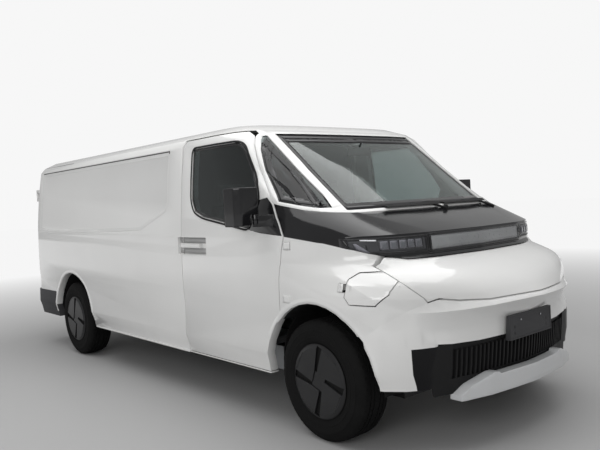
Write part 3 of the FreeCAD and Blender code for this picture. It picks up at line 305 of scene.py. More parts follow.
def nose_group(name, blur):
    """Geometry nodes that draw the nose's shoulders back and in, by a point's own place.

    The blur evens out the shading from facet to facet.
    """
    group = bpy.data.node_groups.new(name, "GeometryNodeTree")
    for way in ("INPUT", "OUTPUT"):
        group.interface.new_socket("Geometry", in_out=way, socket_type="NodeSocketGeometry")
    link = group.links.new
    inlet = group.nodes.new("NodeGroupInput")
    outlet = group.nodes.new("NodeGroupOutput")
    split = group.nodes.new("ShaderNodeSeparateXYZ")
    link(group.nodes.new("GeometryNodeInputPosition").outputs[0], split.inputs[0])

    def times(*parts):
        return number(group, "MULTIPLY", *parts)

    def eased(source, start, end, low, high):
        return mapped(group, source, low, high, start, end, "SMOOTHSTEP")

    across = eased(number(group, "ABSOLUTE", split.outputs["Y"]), 0.0, NOSE_SHOULDER, 0.0, 1.0)
    along = eased(split.outputs["X"], NOSE_START, NOSE_FULL, 0.0, 1.0)
    rise = eased(split.outputs["Z"], NOSE_LOW, NOSE_LIP, NOSE_LOW_DRAW, NOSE_LIP_DRAW)
    fall = eased(split.outputs["Z"], NOSE_LIP, NOSE_TOP, 1.0, 0.0)
    draw = times(times(across, along), times(rise, fall))
    inward = times(number(group, "SIGN", split.outputs["Y"]), draw)
    move = group.nodes.new("ShaderNodeCombineXYZ")
    for socket, source, factor in zip(move.inputs, (draw, inward, draw), NOSE_WAY):
        link(times(source, factor), socket)
    place = group.nodes.new("GeometryNodeSetPosition")
    link(inlet.outputs[0], place.inputs["Geometry"])
    link(move.outputs[0], place.inputs["Offset"])
    if not blur:
        link(place.outputs[0], outlet.inputs[0])
        return group
    even = group.nodes.new("GeometryNodeBlurAttribute")
    even.data_type = "FLOAT_VECTOR"
    even.inputs["Iterations"].default_value = blur
    link(group.nodes.new("GeometryNodeInputNormal").outputs["Normal"], even.inputs["Value"])
    shade = group.nodes.new("GeometryNodeSetMeshNormal")
    shade.mode = "FREE"
    shade.domain = "POINT"
    link(place.outputs[0], shade.inputs["Mesh"])
    link(even.outputs["Value"], shade.inputs["Custom Normal"])
    link(shade.outputs[0], outlet.inputs[0])
    return group


NOSE_PLAIN = nose_group("nose_plan", 0)
NOSE_SOFT = nose_group("nose_plan_soft", 14)
NOSE_NODES = ("bonnet", "wings", "front_bumper", "nose_band", "lower_grille", "front_lip", "charge_flap",
              "front_arch_liners")
SOFT_NOSE = ("bonnet", "wings", "front_bumper", "nose_band", "charge_flap")


def reshape(piece, levels=2, soft=False):
    """Gives a piece of the nose its rounder plan."""
    if levels:
        modify(piece, "finer", "SUBSURF", subdivision_type="SIMPLE", levels=levels, render_levels=levels)
    modify(piece, "nose_plan", "NODES", node_group=NOSE_SOFT if soft else NOSE_PLAIN)


# Smooth shading of the CAD nodes, whose own vertices stay as they are

WELD_REACH = 0.00004
FLAT_ANGLE = math.radians(0.3)
EDGE_WIDTH = 0.0016
EDGE_DEGREES = 54
SOFT_DEGREES = 24.0
HEAD_VOXEL = 0.004
HEAD_ROUNDS = 14
# By node name without its hand
SOFT_ANGLES = {
    "bonnet": 50, "wings": 50, "charge_flap": 50, "front_bumper": 50, "nose_band": 40, "front_lip": 40,
    "front_door": 30, "roof_panel": 34, "cab_frame": 34, "steering_wheel": 62, "side_panel": 32,
    "rear_door": 32, "rear_bumper": 32, "tail_lamps": 32, "rear_axle": 32, "front_wheel": 26,
    "rear_wheel": 26, "knuckle": 32, "mirror_base": 32,
}
EDGED = ("bonnet", "wings", "front_bumper", "nose_band", "side_panel", "roof_panel", "front_door",
         "rear_door", "front_lip", "charge_flap", "cab_frame", "rear_bumper", "mirror_base", "dashboard",
         "plate_bracket")


def crease(piece, degrees):
    return modify(piece, "creases", "EDGE_SPLIT", split_angle=math.radians(degrees), use_edge_sharp=False)


def bevel(piece, width, degrees):
    modify(piece, "edges", "BEVEL", width=width, segments=2, limit_method="ANGLE",
           angle_limit=math.radians(degrees))


def smooth_faces(mesh):
    mesh.polygons.foreach_set("use_smooth", [True] * len(mesh.polygons))


def soften(name):
    """Shades shallow edges of a node smoothly and leaves real creases sharp or finely rounded."""
    node = NODES[name]
    kind = name.removesuffix("_right").removesuffix("_left")
    modify(node, "weld", "WELD", merge_threshold=WELD_REACH)
    smooth_faces(node.data)
    if name in SOFT_NOSE:
        crease(node, SOFT_ANGLES[name])
        reshape(node, 2, True)
        return
    if name in NOSE_NODES:
        reshape(node)
    elif kind in EDGED:
        modify(node, "flat", "DECIMATE", decimate_type="DISSOLVE", angle_limit=FLAT_ANGLE)
    if kind in EDGED:
        bevel(node, EDGE_WIDTH, EDGE_DEGREES)
    crease(node, SOFT_ANGLES.get(kind, SOFT_DEGREES))


def round_off(node):
    """Rounds the corners of a small moulded node."""
    modify(node, "remesh", "REMESH", mode="VOXEL", voxel_size=HEAD_VOXEL, use_smooth_shade=True)
    modify(node, "smooth", "SMOOTH", iterations=HEAD_ROUNDS, factor=0.5)


def soften_nodes():
    for name, node in NODES.items():
        if name.startswith("mirror_head"):
            round_off(node)
        else:
            soften(name)


# Pieces laid on the CAD surfaces; a finish is a material with its record slot

AHEAD = 4.0
ASIDE = 3.0
SEARCH = 2.0
SIDES = {"right": -1, "left": 1}
SKIN = (WHITE, "white_paint")
PANEL = (BLACK, "black_panel")
PLASTIC = (SURFACES["black_plastic"], "black_plastic")
CABIN = (SURFACES["cabin_plastic"], "cabin_plastic")
FELT = (SURFACES["liner_felt"], "liner_felt")


def catcher(*names):
    """A ray target made of several nodes."""
    spots = []
    faces = []
    for name in names:
        data = NODES[name].data
        base = len(spots)
        spots += [vertex.co.copy() for vertex in data.vertices]
        faces += [[base + index for index in face.vertices] for face in data.polygons]
    return BVHTree.FromPolygons(spots, faces)


def lay(tree, spot, axis, lift):
    """The point on a surface under a flat spot, seen from one side, moved out by the lift."""
    if axis == "front":
        start, way = Vector((AHEAD, *spot)), Vector((-1, 0, 0))
    elif axis == "back":
        start, way = Vector((-AHEAD, *spot)), Vector((1, 0, 0))
    else:
        start, way = Vector((spot[0], SIDES[axis] * ASIDE, spot[1])), Vector((0, -SIDES[axis], 0))
    point = tree.ray_cast(start, way)[0]
    if point is None:
        point = tree.find_nearest(start + way * SEARCH)[0]
    return point - way * lift


def rect(start, end, low, high, side=1):
    """The corners of an upright rectangle, mirrored for the right side with side -1."""
    return [(side * start, low), (side * end, low), (side * end, high), (side * start, high)]


def spaced(points, gap):
    """A closed outline with points no further apart than the gap."""
    rows = []
    for first, second in zip(points, points[1:] + points[:1]):
        count = max(1, math.ceil(math.dist(first, second) / gap))
        for step in range(count):
            rows.append(tuple(a + (b - a) * step / count for a, b in zip(first, second)))
    return rows


def in_threes(points):
    """Each point of a closed outline between the one before and the one after it."""
    return zip(points[-1:] + points[:-1], points, points[1:] + points[:1])


def grown(points, distance):
    """A closed flat outline moved outward by a distance."""
    area = sum(a[0] * b[1] - b[0] * a[1] for a, b in zip(points, points[1:] + points[:1]))
    turn = 1 if area > 0 else -1
    rows = []
    for before, spot, after in in_threes(points):
        run_x, run_y = after[0] - before[0], after[1] - before[1]
        length = math.hypot(run_x, run_y) or 1.0
        rows.append((spot[0] + turn * run_y / length * distance, spot[1] - turn * run_x / length * distance))
    return rows


def cut_corners(points, size, steps=5):
    """A closed outline with round corners of about the given size."""
    rows = []
    for before, spot, after in in_threes(points):
        starts = []
        for other in (before, after):
            run = math.dist(spot, other)
            share = min(size, run * 0.45) / run
            starts.append(tuple(a + (b - a) * share for a, b in zip(spot, other)))
        for step in range(steps + 1):
            t = step / steps
            rows.append(tuple((1 - t) ** 2 * a + 2 * t * (1 - t) * b + t * t * c
                              for a, b, c in zip(starts[0], spot, starts[1])))
    return rows


def grid(rows, columns, round_rows=False, round_columns=False):
    """Quads between points listed row by row; a round way joins its end to its start."""
    faces = []
    for row in range(rows if round_rows else rows - 1):
        after = (row + 1) % rows
        for column in range(columns if round_columns else columns - 1):
            beside = (column + 1) % columns
            faces.append((row * columns + column, row * columns + beside, after * columns + beside,
                          after * columns + column))
    return faces


def mesh_of(form, name):
    mesh = bpy.data.meshes.new(name)
    form.to_mesh(mesh)
    form.free()
    return mesh


def add_piece(name, mesh, finish, body):
    mesh.materials.append(finish[0])
    smooth_faces(mesh)
    piece = placed(name, mesh)
    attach(piece, body)
    return piece


def make(name, verts, faces, finish, body="body"):
    mesh = bpy.data.meshes.new(name)
    mesh.from_pydata([tuple(vert) for vert in verts], [], faces)
    mesh.validate()
    return add_piece(name, mesh, finish, body)


def thicken(piece, wall):
    return modify(piece, "wall", "SOLIDIFY", thickness=wall, offset=0.0, use_even_offset=False)


def patch(name, tree, corners, axis, lift, wall, finish, body="body", gap=0.02):
    """A four-cornered plate that follows a surface."""
    a, b, c, d = corners
    across = max(1, math.ceil(max(math.dist(a, b), math.dist(c, d)) / gap))
    rise = max(1, math.ceil(max(math.dist(a, d), math.dist(b, c)) / gap))
    verts = []
    for row in range(rise + 1):
        v = row / rise
        for column in range(across + 1):
            u = column / across
            low = (a[0] + (b[0] - a[0]) * u, a[1] + (b[1] - a[1]) * u)
            high = (d[0] + (c[0] - d[0]) * u, d[1] + (c[1] - d[1]) * u)
            spot = (low[0] + (high[0] - low[0]) * v, low[1] + (high[1] - low[1]) * v)
            verts.append(lay(tree, spot, axis, lift))
    return thicken(make(name, verts, grid(rise + 1, across + 1), finish, body), wall)


def ring_on(name, tree, outline, offsets, axis, lift, wall, finish, body="body", gap=0.02):
    """A flat ring that follows an outline; the offsets are outward distances."""
    base = spaced(outline, gap)
    verts = [lay(tree, spot, axis, lift) for offset in offsets for spot in grown(base, offset)]
    thicken(make(name, verts, grid(len(offsets), len(base), False, True), finish, body), wall)


def boxed(name, centre, sizes, finish, body="body", edge=0.004, turn=None):
    """A block with softened edges."""
    form = bmesh.new()
    bmesh.ops.create_cube(form, size=1.0)
    for vert in form.verts:
        vert.co = Vector([spot * size for spot, size in zip(vert.co, sizes)])
    bmesh.ops.bevel(form, geom=form.edges[:], offset=min(edge, min(sizes) * 0.4), segments=3, profile=0.5,
                    affect="EDGES")
    if turn is not None:
        bmesh.ops.rotate(form, verts=form.verts[:], cent=(0, 0, 0), matrix=turn)
    bmesh.ops.translate(form, verts=form.verts[:], vec=Vector(centre))
    return add_piece(name, mesh_of(form, name), finish, body)


def rod(name, points, radii, finish, body="body", sides=12):
    """A round bar along a path of points, with one radius for each point."""
    verts = []
    last = None
    for index, (spot, radius) in enumerate(zip(points, radii)):
        before = Vector(points[max(0, index - 1)])
        after = Vector(points[min(len(points) - 1, index + 1)])
        way = (after - before).normalized()
        cross = way.cross(Vector((0, 0, 1)))
        if cross.length < 0.05:
            cross = way.cross(Vector((0, 1, 0)))
        cross.normalize()
        if last is not None and cross.dot(last) < 0:
            cross = -cross
        last = cross
        rise = way.cross(cross).normalized()
        for step in range(sides):
            angle = 2 * math.pi * step / sides
            verts.append(Vector(spot) + cross * math.cos(angle) * radius + rise * math.sin(angle) * radius)
    end = (len(points) - 1) * sides
    faces = grid(len(points), sides, False, True)
    faces += [tuple(range(sides))[::-1], tuple(end + step for step in range(sides))]
    return crease(make(name, verts, faces, finish, body), 50)


# Tyres

FRONT_AXLE = 1.865
REAR_AXLE = -1.735
AXLE_HEIGHT = 0.356
WHEEL_FACE = 0.970
TYRE_MIDDLE = 0.1175
TYRE_RADIUS = 0.3560
TYRE_STEPS = 252
RIB_DEPTH = 0.0016
SIPE_DEPTH = 0.0052


def tyre_profile():
    """Distance in from the outer face, radius, and the zone that the tread pattern works on."""
    wall = ((0.019, 0.2125), (0.013, 0.2160), (0.010, 0.2250), (0.0065, 0.2290), (0.0040, 0.2400),
            (0.0022, 0.2540), (0.0012, 0.2560), (0.0012, 0.2590), (0.0026, 0.2610), (0.0016, 0.2760),
            (0.0012, 0.2920), (0.0008, 0.2950), (0.0008, 0.2990), (0.0030, 0.3010))
    shoulder = ((0.0052, 0.3100), (0.0086, 0.3200), (0.0125, 0.3290), (0.0172, 0.3370))
    tread = ((0.0235, 0.3460), (0.0310, 0.3520), (0.0400, 0.3544), (0.0620, 0.3552), (0.0705, 0.3556),
             (0.0900, 0.3558), (0.0990, 0.3560))
    grooves = ((0.0625, 0.3472), (0.0700, 0.3472), (0.0905, 0.3478), (0.0985, 0.3478))
    rows = []
    for zone, spots in (("", wall), ("rib", shoulder)):
        rows += [(y, r, zone) for y, r in spots]
    rows += sorted([(y, r, "sipe") for y, r in tread] + [(y, r, "") for y, r in grooves])
    back = [(2 * TYRE_MIDDLE - y, r, zone) for y, r, zone in reversed(rows)]
    return rows + [(TYRE_MIDDLE, TYRE_RADIUS, "")] + back


def make_tyre(name, body, x, side):
    profile = tyre_profile()
    verts = []
    for step in range(TYRE_STEPS):
        angle = 2 * math.pi * step / TYRE_STEPS
        for y, r, zone in profile:
            if zone == "rib" and step % 3 == 0:
                r -= RIB_DEPTH
            if zone == "sipe" and (step + int(y * 160)) % 7 == 0:
                r -= SIPE_DEPTH
            verts.append((x + r * math.cos(angle), side * (WHEEL_FACE - y),
                          AXLE_HEIGHT + r * math.sin(angle)))
    faces = grid(TYRE_STEPS, len(profile), True, True)
    if side > 0:
        faces = [face[::-1] for face in faces]
    rubber_finish = (SURFACES["tyre_rubber"], "tyre_rubber")
    piece = crease(make(name + "_treaded", verts, faces, rubber_finish, body), 32)
    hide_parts(name)


def make_tyres():
    for hand, side in SIDES.items():
        make_tyre("front_tyre_" + hand, "front_wheel_body_" + hand, FRONT_AXLE, side)
        make_tyre("rear_tyre_" + hand, "rear_wheel_body_" + hand, REAR_AXLE, side)


# Outlines shared with the construction, seen from the side or the front

ROOF = 1.985


def at(rows):
    """Side view spots from millimetres ahead of the front axle and shares of the roof height."""
    return [(FRONT_AXLE + x / 1000, ROOF * share) for x, share in rows]


WINDOW = at(((-1290, 0.915), (-765, 0.915), (-707, 0.9), (-528, 0.766), (-502, 0.718), (-593, 0.6257),
             (-1136, 0.6685), (-1250, 0.69), (-1290, 0.731)))
QUARTER = at(((-656, 0.9325), (-638, 0.9340), (-30, 0.6836), (-70, 0.6836), (-325, 0.7094), (-502, 0.8076)))
PRESSED = at(((-1640, 0.9190), (-4330, 0.9190), (-4375, 0.6290), (-4139, 0.6080), (-2089, 0.6240),
              (-1675, 0.6950), (-1640, 0.7300)))
SCREEN = [(-0.690, 1.3345), (0.690, 1.3345), (0.670, 1.865), (-0.670, 1.865)]
SHADE_BAND = [(-0.645, 1.800), (0.645, 1.800), (0.636, 1.832), (-0.636, 1.832)]
WINDOW_CORNER = 0.045
SCREEN_CORNER = 0.03
PRINT_LIFT = 0.0006
PRINT_WALL = 0.001


def make_window_borders():
    """Seals round the door windows and the black printed borders of the glass."""
    corner = cut_corners(WINDOW, WINDOW_CORNER)
    for hand in SIDES:
        body = "front_door_body_" + hand
        skin = catcher("front_door_" + hand, "mirror_base_" + hand)
        pane = catcher("door_glass_" + hand)
        ring_on("window_seal_" + hand, skin, grown(corner, 0.002), (0.0, 0.006, 0.013), hand, 0.0015, 0.004,
                PLASTIC, body)
        ring_on("window_border_" + hand, pane, corner, (-0.001, -0.010, -0.019), hand, PRINT_LIFT, PRINT_WALL,
                PRINT, body)
        ring_on("quarter_border_" + hand, catcher("quarter_glass"), QUARTER, (-0.001, -0.018, -0.036), hand,
                PRINT_LIFT, PRINT_WALL, PRINT)
    pane = catcher("windscreen")
    ring_on("screen_border", pane, cut_corners(SCREEN, SCREEN_CORNER), (-0.001, -0.020, -0.040), "front",
            PRINT_LIFT, PRINT_WALL, PRINT)
    patch("screen_shade", pane, SHADE_BAND, "front", PRINT_LIFT, PRINT_WALL, PRINT, gap=0.03)


# Lamps

LAMP_HOUSING = ((0.485, 1.090), (0.868, 1.094), (0.893, 1.170), (0.485, 1.170))
LAMP_EDGE = ((0.479, 1.084), (0.872, 1.087), (0.898, 1.176), (0.479, 1.176))
LAMP_DAY = ((0.772, 1.158), (0.836, 1.164), (0.838, 1.1705), (0.772, 1.1665))
LAMP_WELL = ((0.508, 1.100), (0.762, 1.104), (0.770, 1.166), (0.508, 1.162))
LAMP_FIN = ((0.800, 1.094), (0.846, 1.094), (0.862, 1.150), (0.852, 1.150))
CELL_COUNT = 5
CELL_START = 0.516
CELL_STEP = 0.050


def make_headlamps():
    tree = catcher("headlamps")
    for hand, side in SIDES.items():
        def part(name, corners, lift, wall, material, gap=0.012):
            spots = [(side * y, z) for y, z in corners]
            patch("lamp_" + name, tree, spots, "front", lift, wall, (material, "lamp_lens"), gap=gap)

        part("housing_" + hand, LAMP_HOUSING, 0.0004, 0.0008, LAMP_GREY, 0.015)
        edge = [(side * y, z) for y, z in LAMP_EDGE]
        ring_on("lamp_border_" + hand, tree, edge, (0.0, -0.004, -0.009), "front", 0.0018, 0.003, PANEL)
        part("day_bar_" + hand, LAMP_DAY, 0.0026, 0.003, DAY_BAR)
        part("well_" + hand, LAMP_WELL, 0.0012, 0.0016, LAMP_DARK)
        for cell in range(CELL_COUNT):
            near = CELL_START + cell * CELL_STEP
            tail = "%s_%d" % (hand, cell)
            part("cell_" + tail, rect(near, near + 0.042, 1.110, 1.156), 0.0030, 0.002, LAMP_SILVER, 0.010)
            eye = rect(near + 0.007, near + 0.035, 1.117, 1.149)
            part("eye_" + tail, eye, 0.0046, 0.002, LAMP_EYE, 0.010)
        part("fin_" + hand, LAMP_FIN, 0.0020, 0.003, LAMP_SILVER)


def make_light_bar():
    tree = catcher("light_bar", "headlamps")
    patch("bar_face", tree, rect(-0.449, 0.449, 1.084, 1.171), "front", 0.0008, 0.0012, BAR_GREY, gap=0.03)
    ring_on("bar_border", tree, rect(-0.461, 0.461, 1.076, 1.179), (0.0, -0.005, -0.011), "front", 0.0020,
            0.003, PANEL)
    for hand, side in SIDES.items():
        patch("bar_post_" + hand, tree, rect(0.464, 0.476, 1.074, 1.182, side), "front", 0.0012, 0.003, PANEL,
              gap=0.01)


TAIL_ROWS = ((0.815, 0.905, "clear"), (0.915, 1.010, "amber"), (1.020, 1.205, "red"))
TAIL_STEP = 0.016


def make_tail_lamps():
    """Segments and bright insets on the tail lamp lenses."""
    tree = catcher("tail_lamps")
    for hand, side in SIDES.items():
        for row, (low, high, colour) in enumerate(TAIL_ROWS):
            patch("tail_segment_%s_%d" % (hand, row), tree, rect(0.910, 0.950, low, high, side), "back",
                  0.0010, 0.0016, LENSES[colour], gap=0.012)
            for step in range(int((high - low) / TAIL_STEP)):
                z = low + 0.006 + step * TAIL_STEP
                patch("tail_line_%s_%d_%d" % (hand, row, step), tree, rect(0.916, 0.944, z, z + 0.006, side),
                      "back", 0.0022, 0.0012, LENSES[colour])


# Body details

ARCH_RADIUS = 0.458
ARCH_STEPS = 64
# Reach beyond the arch's radius and lift off the skin, from the arch outward
ARCH_RIM = ((-0.001, -0.004), (0.001, 0.0022), (0.012, 0.0028), (0.024, 0.0014), (0.034, -0.0006))
SILL_START, SILL_END = -1.262, 0.420


def arch_lip(name, tree, x, start, end, hand):
    """The raised rim along a wheel arch, between two angles in degrees."""
    verts = []
    for step in range(ARCH_STEPS + 1):
        angle = math.radians(start + (end - start) * step / ARCH_STEPS)
        for reach, lift in ARCH_RIM:
            radius = ARCH_RADIUS + reach
            spot = (x + math.cos(angle) * radius, AXLE_HEIGHT + math.sin(angle) * radius)
            verts.append(lay(tree, spot, hand, lift))
    return make(name, verts, grid(ARCH_STEPS + 1, len(ARCH_RIM)), SKIN)


def make_body_details():
    for hand, side in SIDES.items():
        aft = catcher("side_panel_" + hand, "rear_bumper")
        arch_lip("rear_arch_rim_" + hand, aft, REAR_AXLE, 4, 176, hand)
        fore = catcher("wings", "front_bumper", "side_panel_" + hand, "front_door_" + hand)
        reshape(arch_lip("front_arch_rim_" + hand, fore, FRONT_AXLE, 8, 152, hand), 0)
        boxed("sill_flange_rear_" + hand, ((SILL_START + SILL_END) / 2, side * 0.958, 0.331),
              (SILL_END - SILL_START, 0.012, 0.016), SKIN)


def make_press_edges():
    """Soft ramps down to the pressed field of each load side."""
    for hand in SIDES:
        ring_on("press_ramp_" + hand, catcher("side_panel_" + hand), PRESSED, (0.005, 0.002, -0.022, -0.026),
                hand, 0.0005, 0.0004, SKIN, gap=0.06)


COVER_LIFT = 0.0006
COVER_WALL = 0.0012
COVER_REST = 0.009
COVER_SPOTS = 5
DOOR_COVERS = ((1.602, 0.820), (1.618, 1.140))
DOOR_COVER_END = 1.673
DOOR_COVER_HALF = 0.0235


def cover_hole(name, tree, x_low, x_high, z, half, hand, body):
    """A thin plate over a hinge room, on the line of the sound skin above and below it."""
    reach = half + COVER_REST
    low, high = ([lay(tree, (x, height), hand, COVER_LIFT) for x in (x_low, x_high)]
                 for height in (z - reach, z + reach))
    share = 0.5 - half / reach / 2
    last = COVER_SPOTS - 1
    verts = []
    for row in range(COVER_SPOTS):
        v = share + (1 - 2 * share) * row / last
        for column in range(COVER_SPOTS):
            verts.append(low[0].lerp(low[1], column / last).lerp(high[0].lerp(high[1], column / last), v))
    thicken(make(name, verts, grid(COVER_SPOTS, COVER_SPOTS), SKIN, body), COVER_WALL)


def make_hinge_covers():
    """Covers over the hinge rooms; each swings with its own door or flap."""
    for hand in SIDES:
        skin = catcher("wings", "front_door_" + hand)
        for row, (x_low, z) in enumerate(DOOR_COVERS):
            cover_hole("door_hinge_cover_%s_%d" % (hand, row), skin, x_low, DOOR_COVER_END, z,
                       DOOR_COVER_HALF, hand, "front_door_body_" + hand)
    cover_hole("flap_hinge_cover", catcher("wings", "nose_band", "charge_flap"), 2.0685, 2.104, 0.915, 0.0225,
               "right", "charge_lid")


def make_handle_pockets():
    """Painted shade: grey patches on the floor of the finger recess, above and below the pull bar."""
    for hand in SIDES:
        tree = catcher("front_door_" + hand, "side_panel_" + hand)
        for row, (low, high) in enumerate(((1.064, 1.106), (1.141, 1.181))):
            for part, x_low, x_high, body in (("fore", 0.437, 0.762, "front_door_body_" + hand),
                                              ("aft", 0.386, 0.425, "body")):
                patch("pocket_%s_%s_%d" % (part, hand, row), tree, rect(x_low, x_high, low, high), hand,
                      0.0006, 0.0008, POCKET_SHADE, body, 0.03)


def make_drip_rails():
    """The drip rail over each load side, with painted shadow: dark strips under the rail and at its front
    end.
    """
    for hand in SIDES:
        flank = catcher("side_panel_" + hand)
        patch("drip_shadow_" + hand, flank, rect(-2.470, 0.228, 1.8270, 1.8350), hand, 0.0010, 0.0010, PAINTED_SHADOW,
              gap=0.08)
        rail = patch("drip_rail_" + hand, flank, rect(-2.480, 0.236, 1.8345, 1.8450), hand, 0.0025, 0.0050,
                     SKIN, gap=0.08)
        bevel(rail, 0.0015, 35.0)
        patch("drip_end_shadow_" + hand, flank, rect(0.228, 0.236, 1.8140, 1.8450), hand, 0.0010, 0.0016, PAINTED_SHADOW)


MIRROR_PANES = {"main": ((1.068, 1.345), (1.186, 1.345), (1.184, 1.490), (1.068, 1.490)),
                "wide": ((1.072, 1.282), (1.184, 1.282), (1.186, 1.334), (1.070, 1.334))}


def make_mirrors():
    for hand, side in SIDES.items():
        body = "mirror_body_" + hand
        tree = catcher("mirror_head_" + hand)
        for part, corners in MIRROR_PANES.items():
            rows = [(side * y, z) for y, z in corners]
            patch("mirror_pane_%s_%s" % (part, hand), tree, rows, "back", 0.0004, 0.0016, MIRROR, body, 0.03)
            ring_on("mirror_rim_%s_%s" % (part, hand), tree, rows, (0.001, 0.004, 0.007), "back", 0.0006,
                    0.003, PLASTIC, body)


BLADE_WIDTH = 0.990
# Distance in from the pivot, height and lift of a wiper arm's points, and its radius there
ARM_PATH = ((-0.010, 1.322, 0.010), (0.010, 1.333, 0.016), (0.080, 1.345, 0.020), (0.180, 1.350, 0.019),
            (0.262, 1.350, 0.014))
ARM_RADII = (0.0085, 0.0085, 0.0070, 0.0055, 0.0045)


def make_wiper_arms():
    """Arms and pivot caps that carry the two blades."""
    tree = catcher("windscreen", "nose_band")
    for row, share in enumerate((0.12, 0.69)):
        pivot = BLADE_WIDTH * share
        path = [lay(tree, (pivot - reach, z), "front", lift) for reach, z, lift in ARM_PATH]
        rod("wiper_arm_%d" % row, path, ARM_RADII, PLASTIC)
        base = lay(tree, (pivot, 1.328), "front", 0.0)
        rod("wiper_cap_%d" % row, [base, base + Vector((0.004, 0, 0.012)), base + Vector((0.007, 0, 0.022))],
            (0.020, 0.018, 0.012), PLASTIC, sides=24)


# Cab seen through the glass

TRIM_START, TRIM_END = 0.470, 1.360
TRIM_LOW, TRIM_HIGH = 0.56, 1.22
TRIM_GAP = 0.04
TRIM_LIFT = 0.004
TRIM_STEP = 0.05
TRIM_NEAR = 0.60


def make_door_trim(hand, side):
    """A panel on the door's inner face that leaves out what the rays miss."""
    tree = catcher("front_door_" + hand)
    across = max(2, round((TRIM_END - TRIM_START) / TRIM_GAP))
    rise = max(2, round((TRIM_HIGH - TRIM_LOW) / TRIM_GAP))
    verts = []
    index_of = {}
    for row in range(rise + 1):
        for column in range(across + 1):
            start = (TRIM_START + (TRIM_END - TRIM_START) * column / across, 0.0,
                     TRIM_LOW + (TRIM_HIGH - TRIM_LOW) * row / rise)
            point = tree.ray_cast(Vector(start), Vector((0, side, 0)))[0]
            if point is not None:
                point -= Vector((0, side * TRIM_LIFT, 0))
                if abs(point.y) > TRIM_NEAR:
                    index_of[row, column] = len(verts)
                    verts.append(point)
    faces = []
    for row in range(rise):
        for column in range(across):
            quad = [(row, column), (row, column + 1), (row + 1, column + 1), (row + 1, column)]
            if all(key in index_of for key in quad):
                depths = [verts[index_of[key]].y for key in quad]
                if max(depths) - min(depths) < TRIM_STEP:
                    faces.append(tuple(index_of[key] for key in quad))
    thicken(make("door_trim_" + hand, verts, faces, CABIN, "front_door_body_" + hand), 0.003)


def make_headliner():
    liner = catcher("roof_panel", "cab_frame")
    spots = []
    for y in range(-15, 16):
        for x in range(17):
            start = Vector((0.385 + x * 0.05, y * 0.05, 1.6))
            point = liner.ray_cast(start, Vector((0, 0, 1)))[0]
            spots.append(point - Vector((0, 0, 0.006)) if point else Vector((start.x, start.y, 1.93)))
    thicken(make("headliner", spots, grid(31, 17), ROOF_CLOTH), 0.004)


def tilted(degrees):
    return Matrix.Rotation(math.radians(degrees), 3, "Y")


def make_cab():
    for hand, side in SIDES.items():
        body = "front_door_body_" + hand
        make_door_trim(hand, side)
        boxed("door_rest_" + hand, (0.90, side * 0.862, 1.035), (0.46, 0.052, 0.05), CABIN, body, 0.015)
        boxed("door_pull_" + hand, (1.13, side * 0.872, 1.10), (0.10, 0.020, 0.03), BRIGHT, body, 0.008)
    make_headliner()
    boxed("cab_mat", (0.945, 0.0, 0.5485), (0.85, 1.36, 0.012), FELT)
    boxed("foot_mat", (1.545, 0.0, 0.5485), (0.34, 1.00, 0.012), FELT)
    boxed("dash_pad", (1.585, 0.455, 1.246), (0.16, 0.40, 0.030), CABIN, edge=0.014)
    boxed("dash_screen", (1.548, 0.455, 1.205), (0.014, 0.270, 0.080), PANEL, edge=0.005, turn=tilted(-18))
    boxed("middle_screen", (1.523, 0.02, 1.175), (0.016, 0.300, 0.180), PANEL, edge=0.006, turn=tilted(-12))
    for row, y in enumerate((-0.78, -0.22, 0.24, 0.79)):
        boxed("dash_vent_%d" % row, (1.530, y, 1.150), (0.020, 0.110, 0.060), CABIN, edge=0.006)
        for bar in range(4):
            spot = (1.519, y, 1.129 + bar * 0.014)
            boxed("vent_bar_%d_%d" % (row, bar), spot, (0.006, 0.094, 0.004), PANEL, edge=0.0015)
    boxed("inner_mirror", (1.335, 0.0, 1.735), (0.020, 0.230, 0.065), PLASTIC, edge=0.010, turn=tilted(12))
    rod("inner_mirror_stem", [(1.345, 0, 1.750), (1.355, 0, 1.785), (1.362, 0, 1.800)], (0.007,) * 3, PLASTIC)


# Seats with filled cloth cushions

CLOTH_LIMIT = 0.024
CLOTH_FRAMES = 20
CLOTH_FACTS = {
    "quality": 4, "mass": 0.3, "tension_stiffness": 12, "compression_stiffness": 12, "shear_stiffness": 6,
    "bending_stiffness": 0.6, "use_pressure": True, "uniform_pressure_force": 4, "vertex_group_mass": "seams",
}
FINE_VOXEL = 0.006
SEAM_REACH = 0.006


def slab(form, low, high, narrow):
    """A block in a bmesh; narrow thins its top from the front."""
    verts = []
    for x, y, z in ((0, 0, 0), (1, 0, 0), (1, 1, 0), (0, 1, 0), (0, 0, 1), (1, 0, 1), (1, 1, 1), (0, 1, 1)):
        px = low[0] + (high[0] - low[0]) * x
        if z:
            px -= narrow * x
        verts.append(form.verts.new((px, low[1] + (high[1] - low[1]) * y, low[2] + (high[2] - low[2]) * z)))
    for quad in ((0, 3, 2, 1), (4, 5, 6, 7), (0, 1, 5, 4), (1, 2, 6, 5), (2, 3, 7, 6), (3, 0, 4, 7)):
        form.faces.new([verts[index] for index in quad])


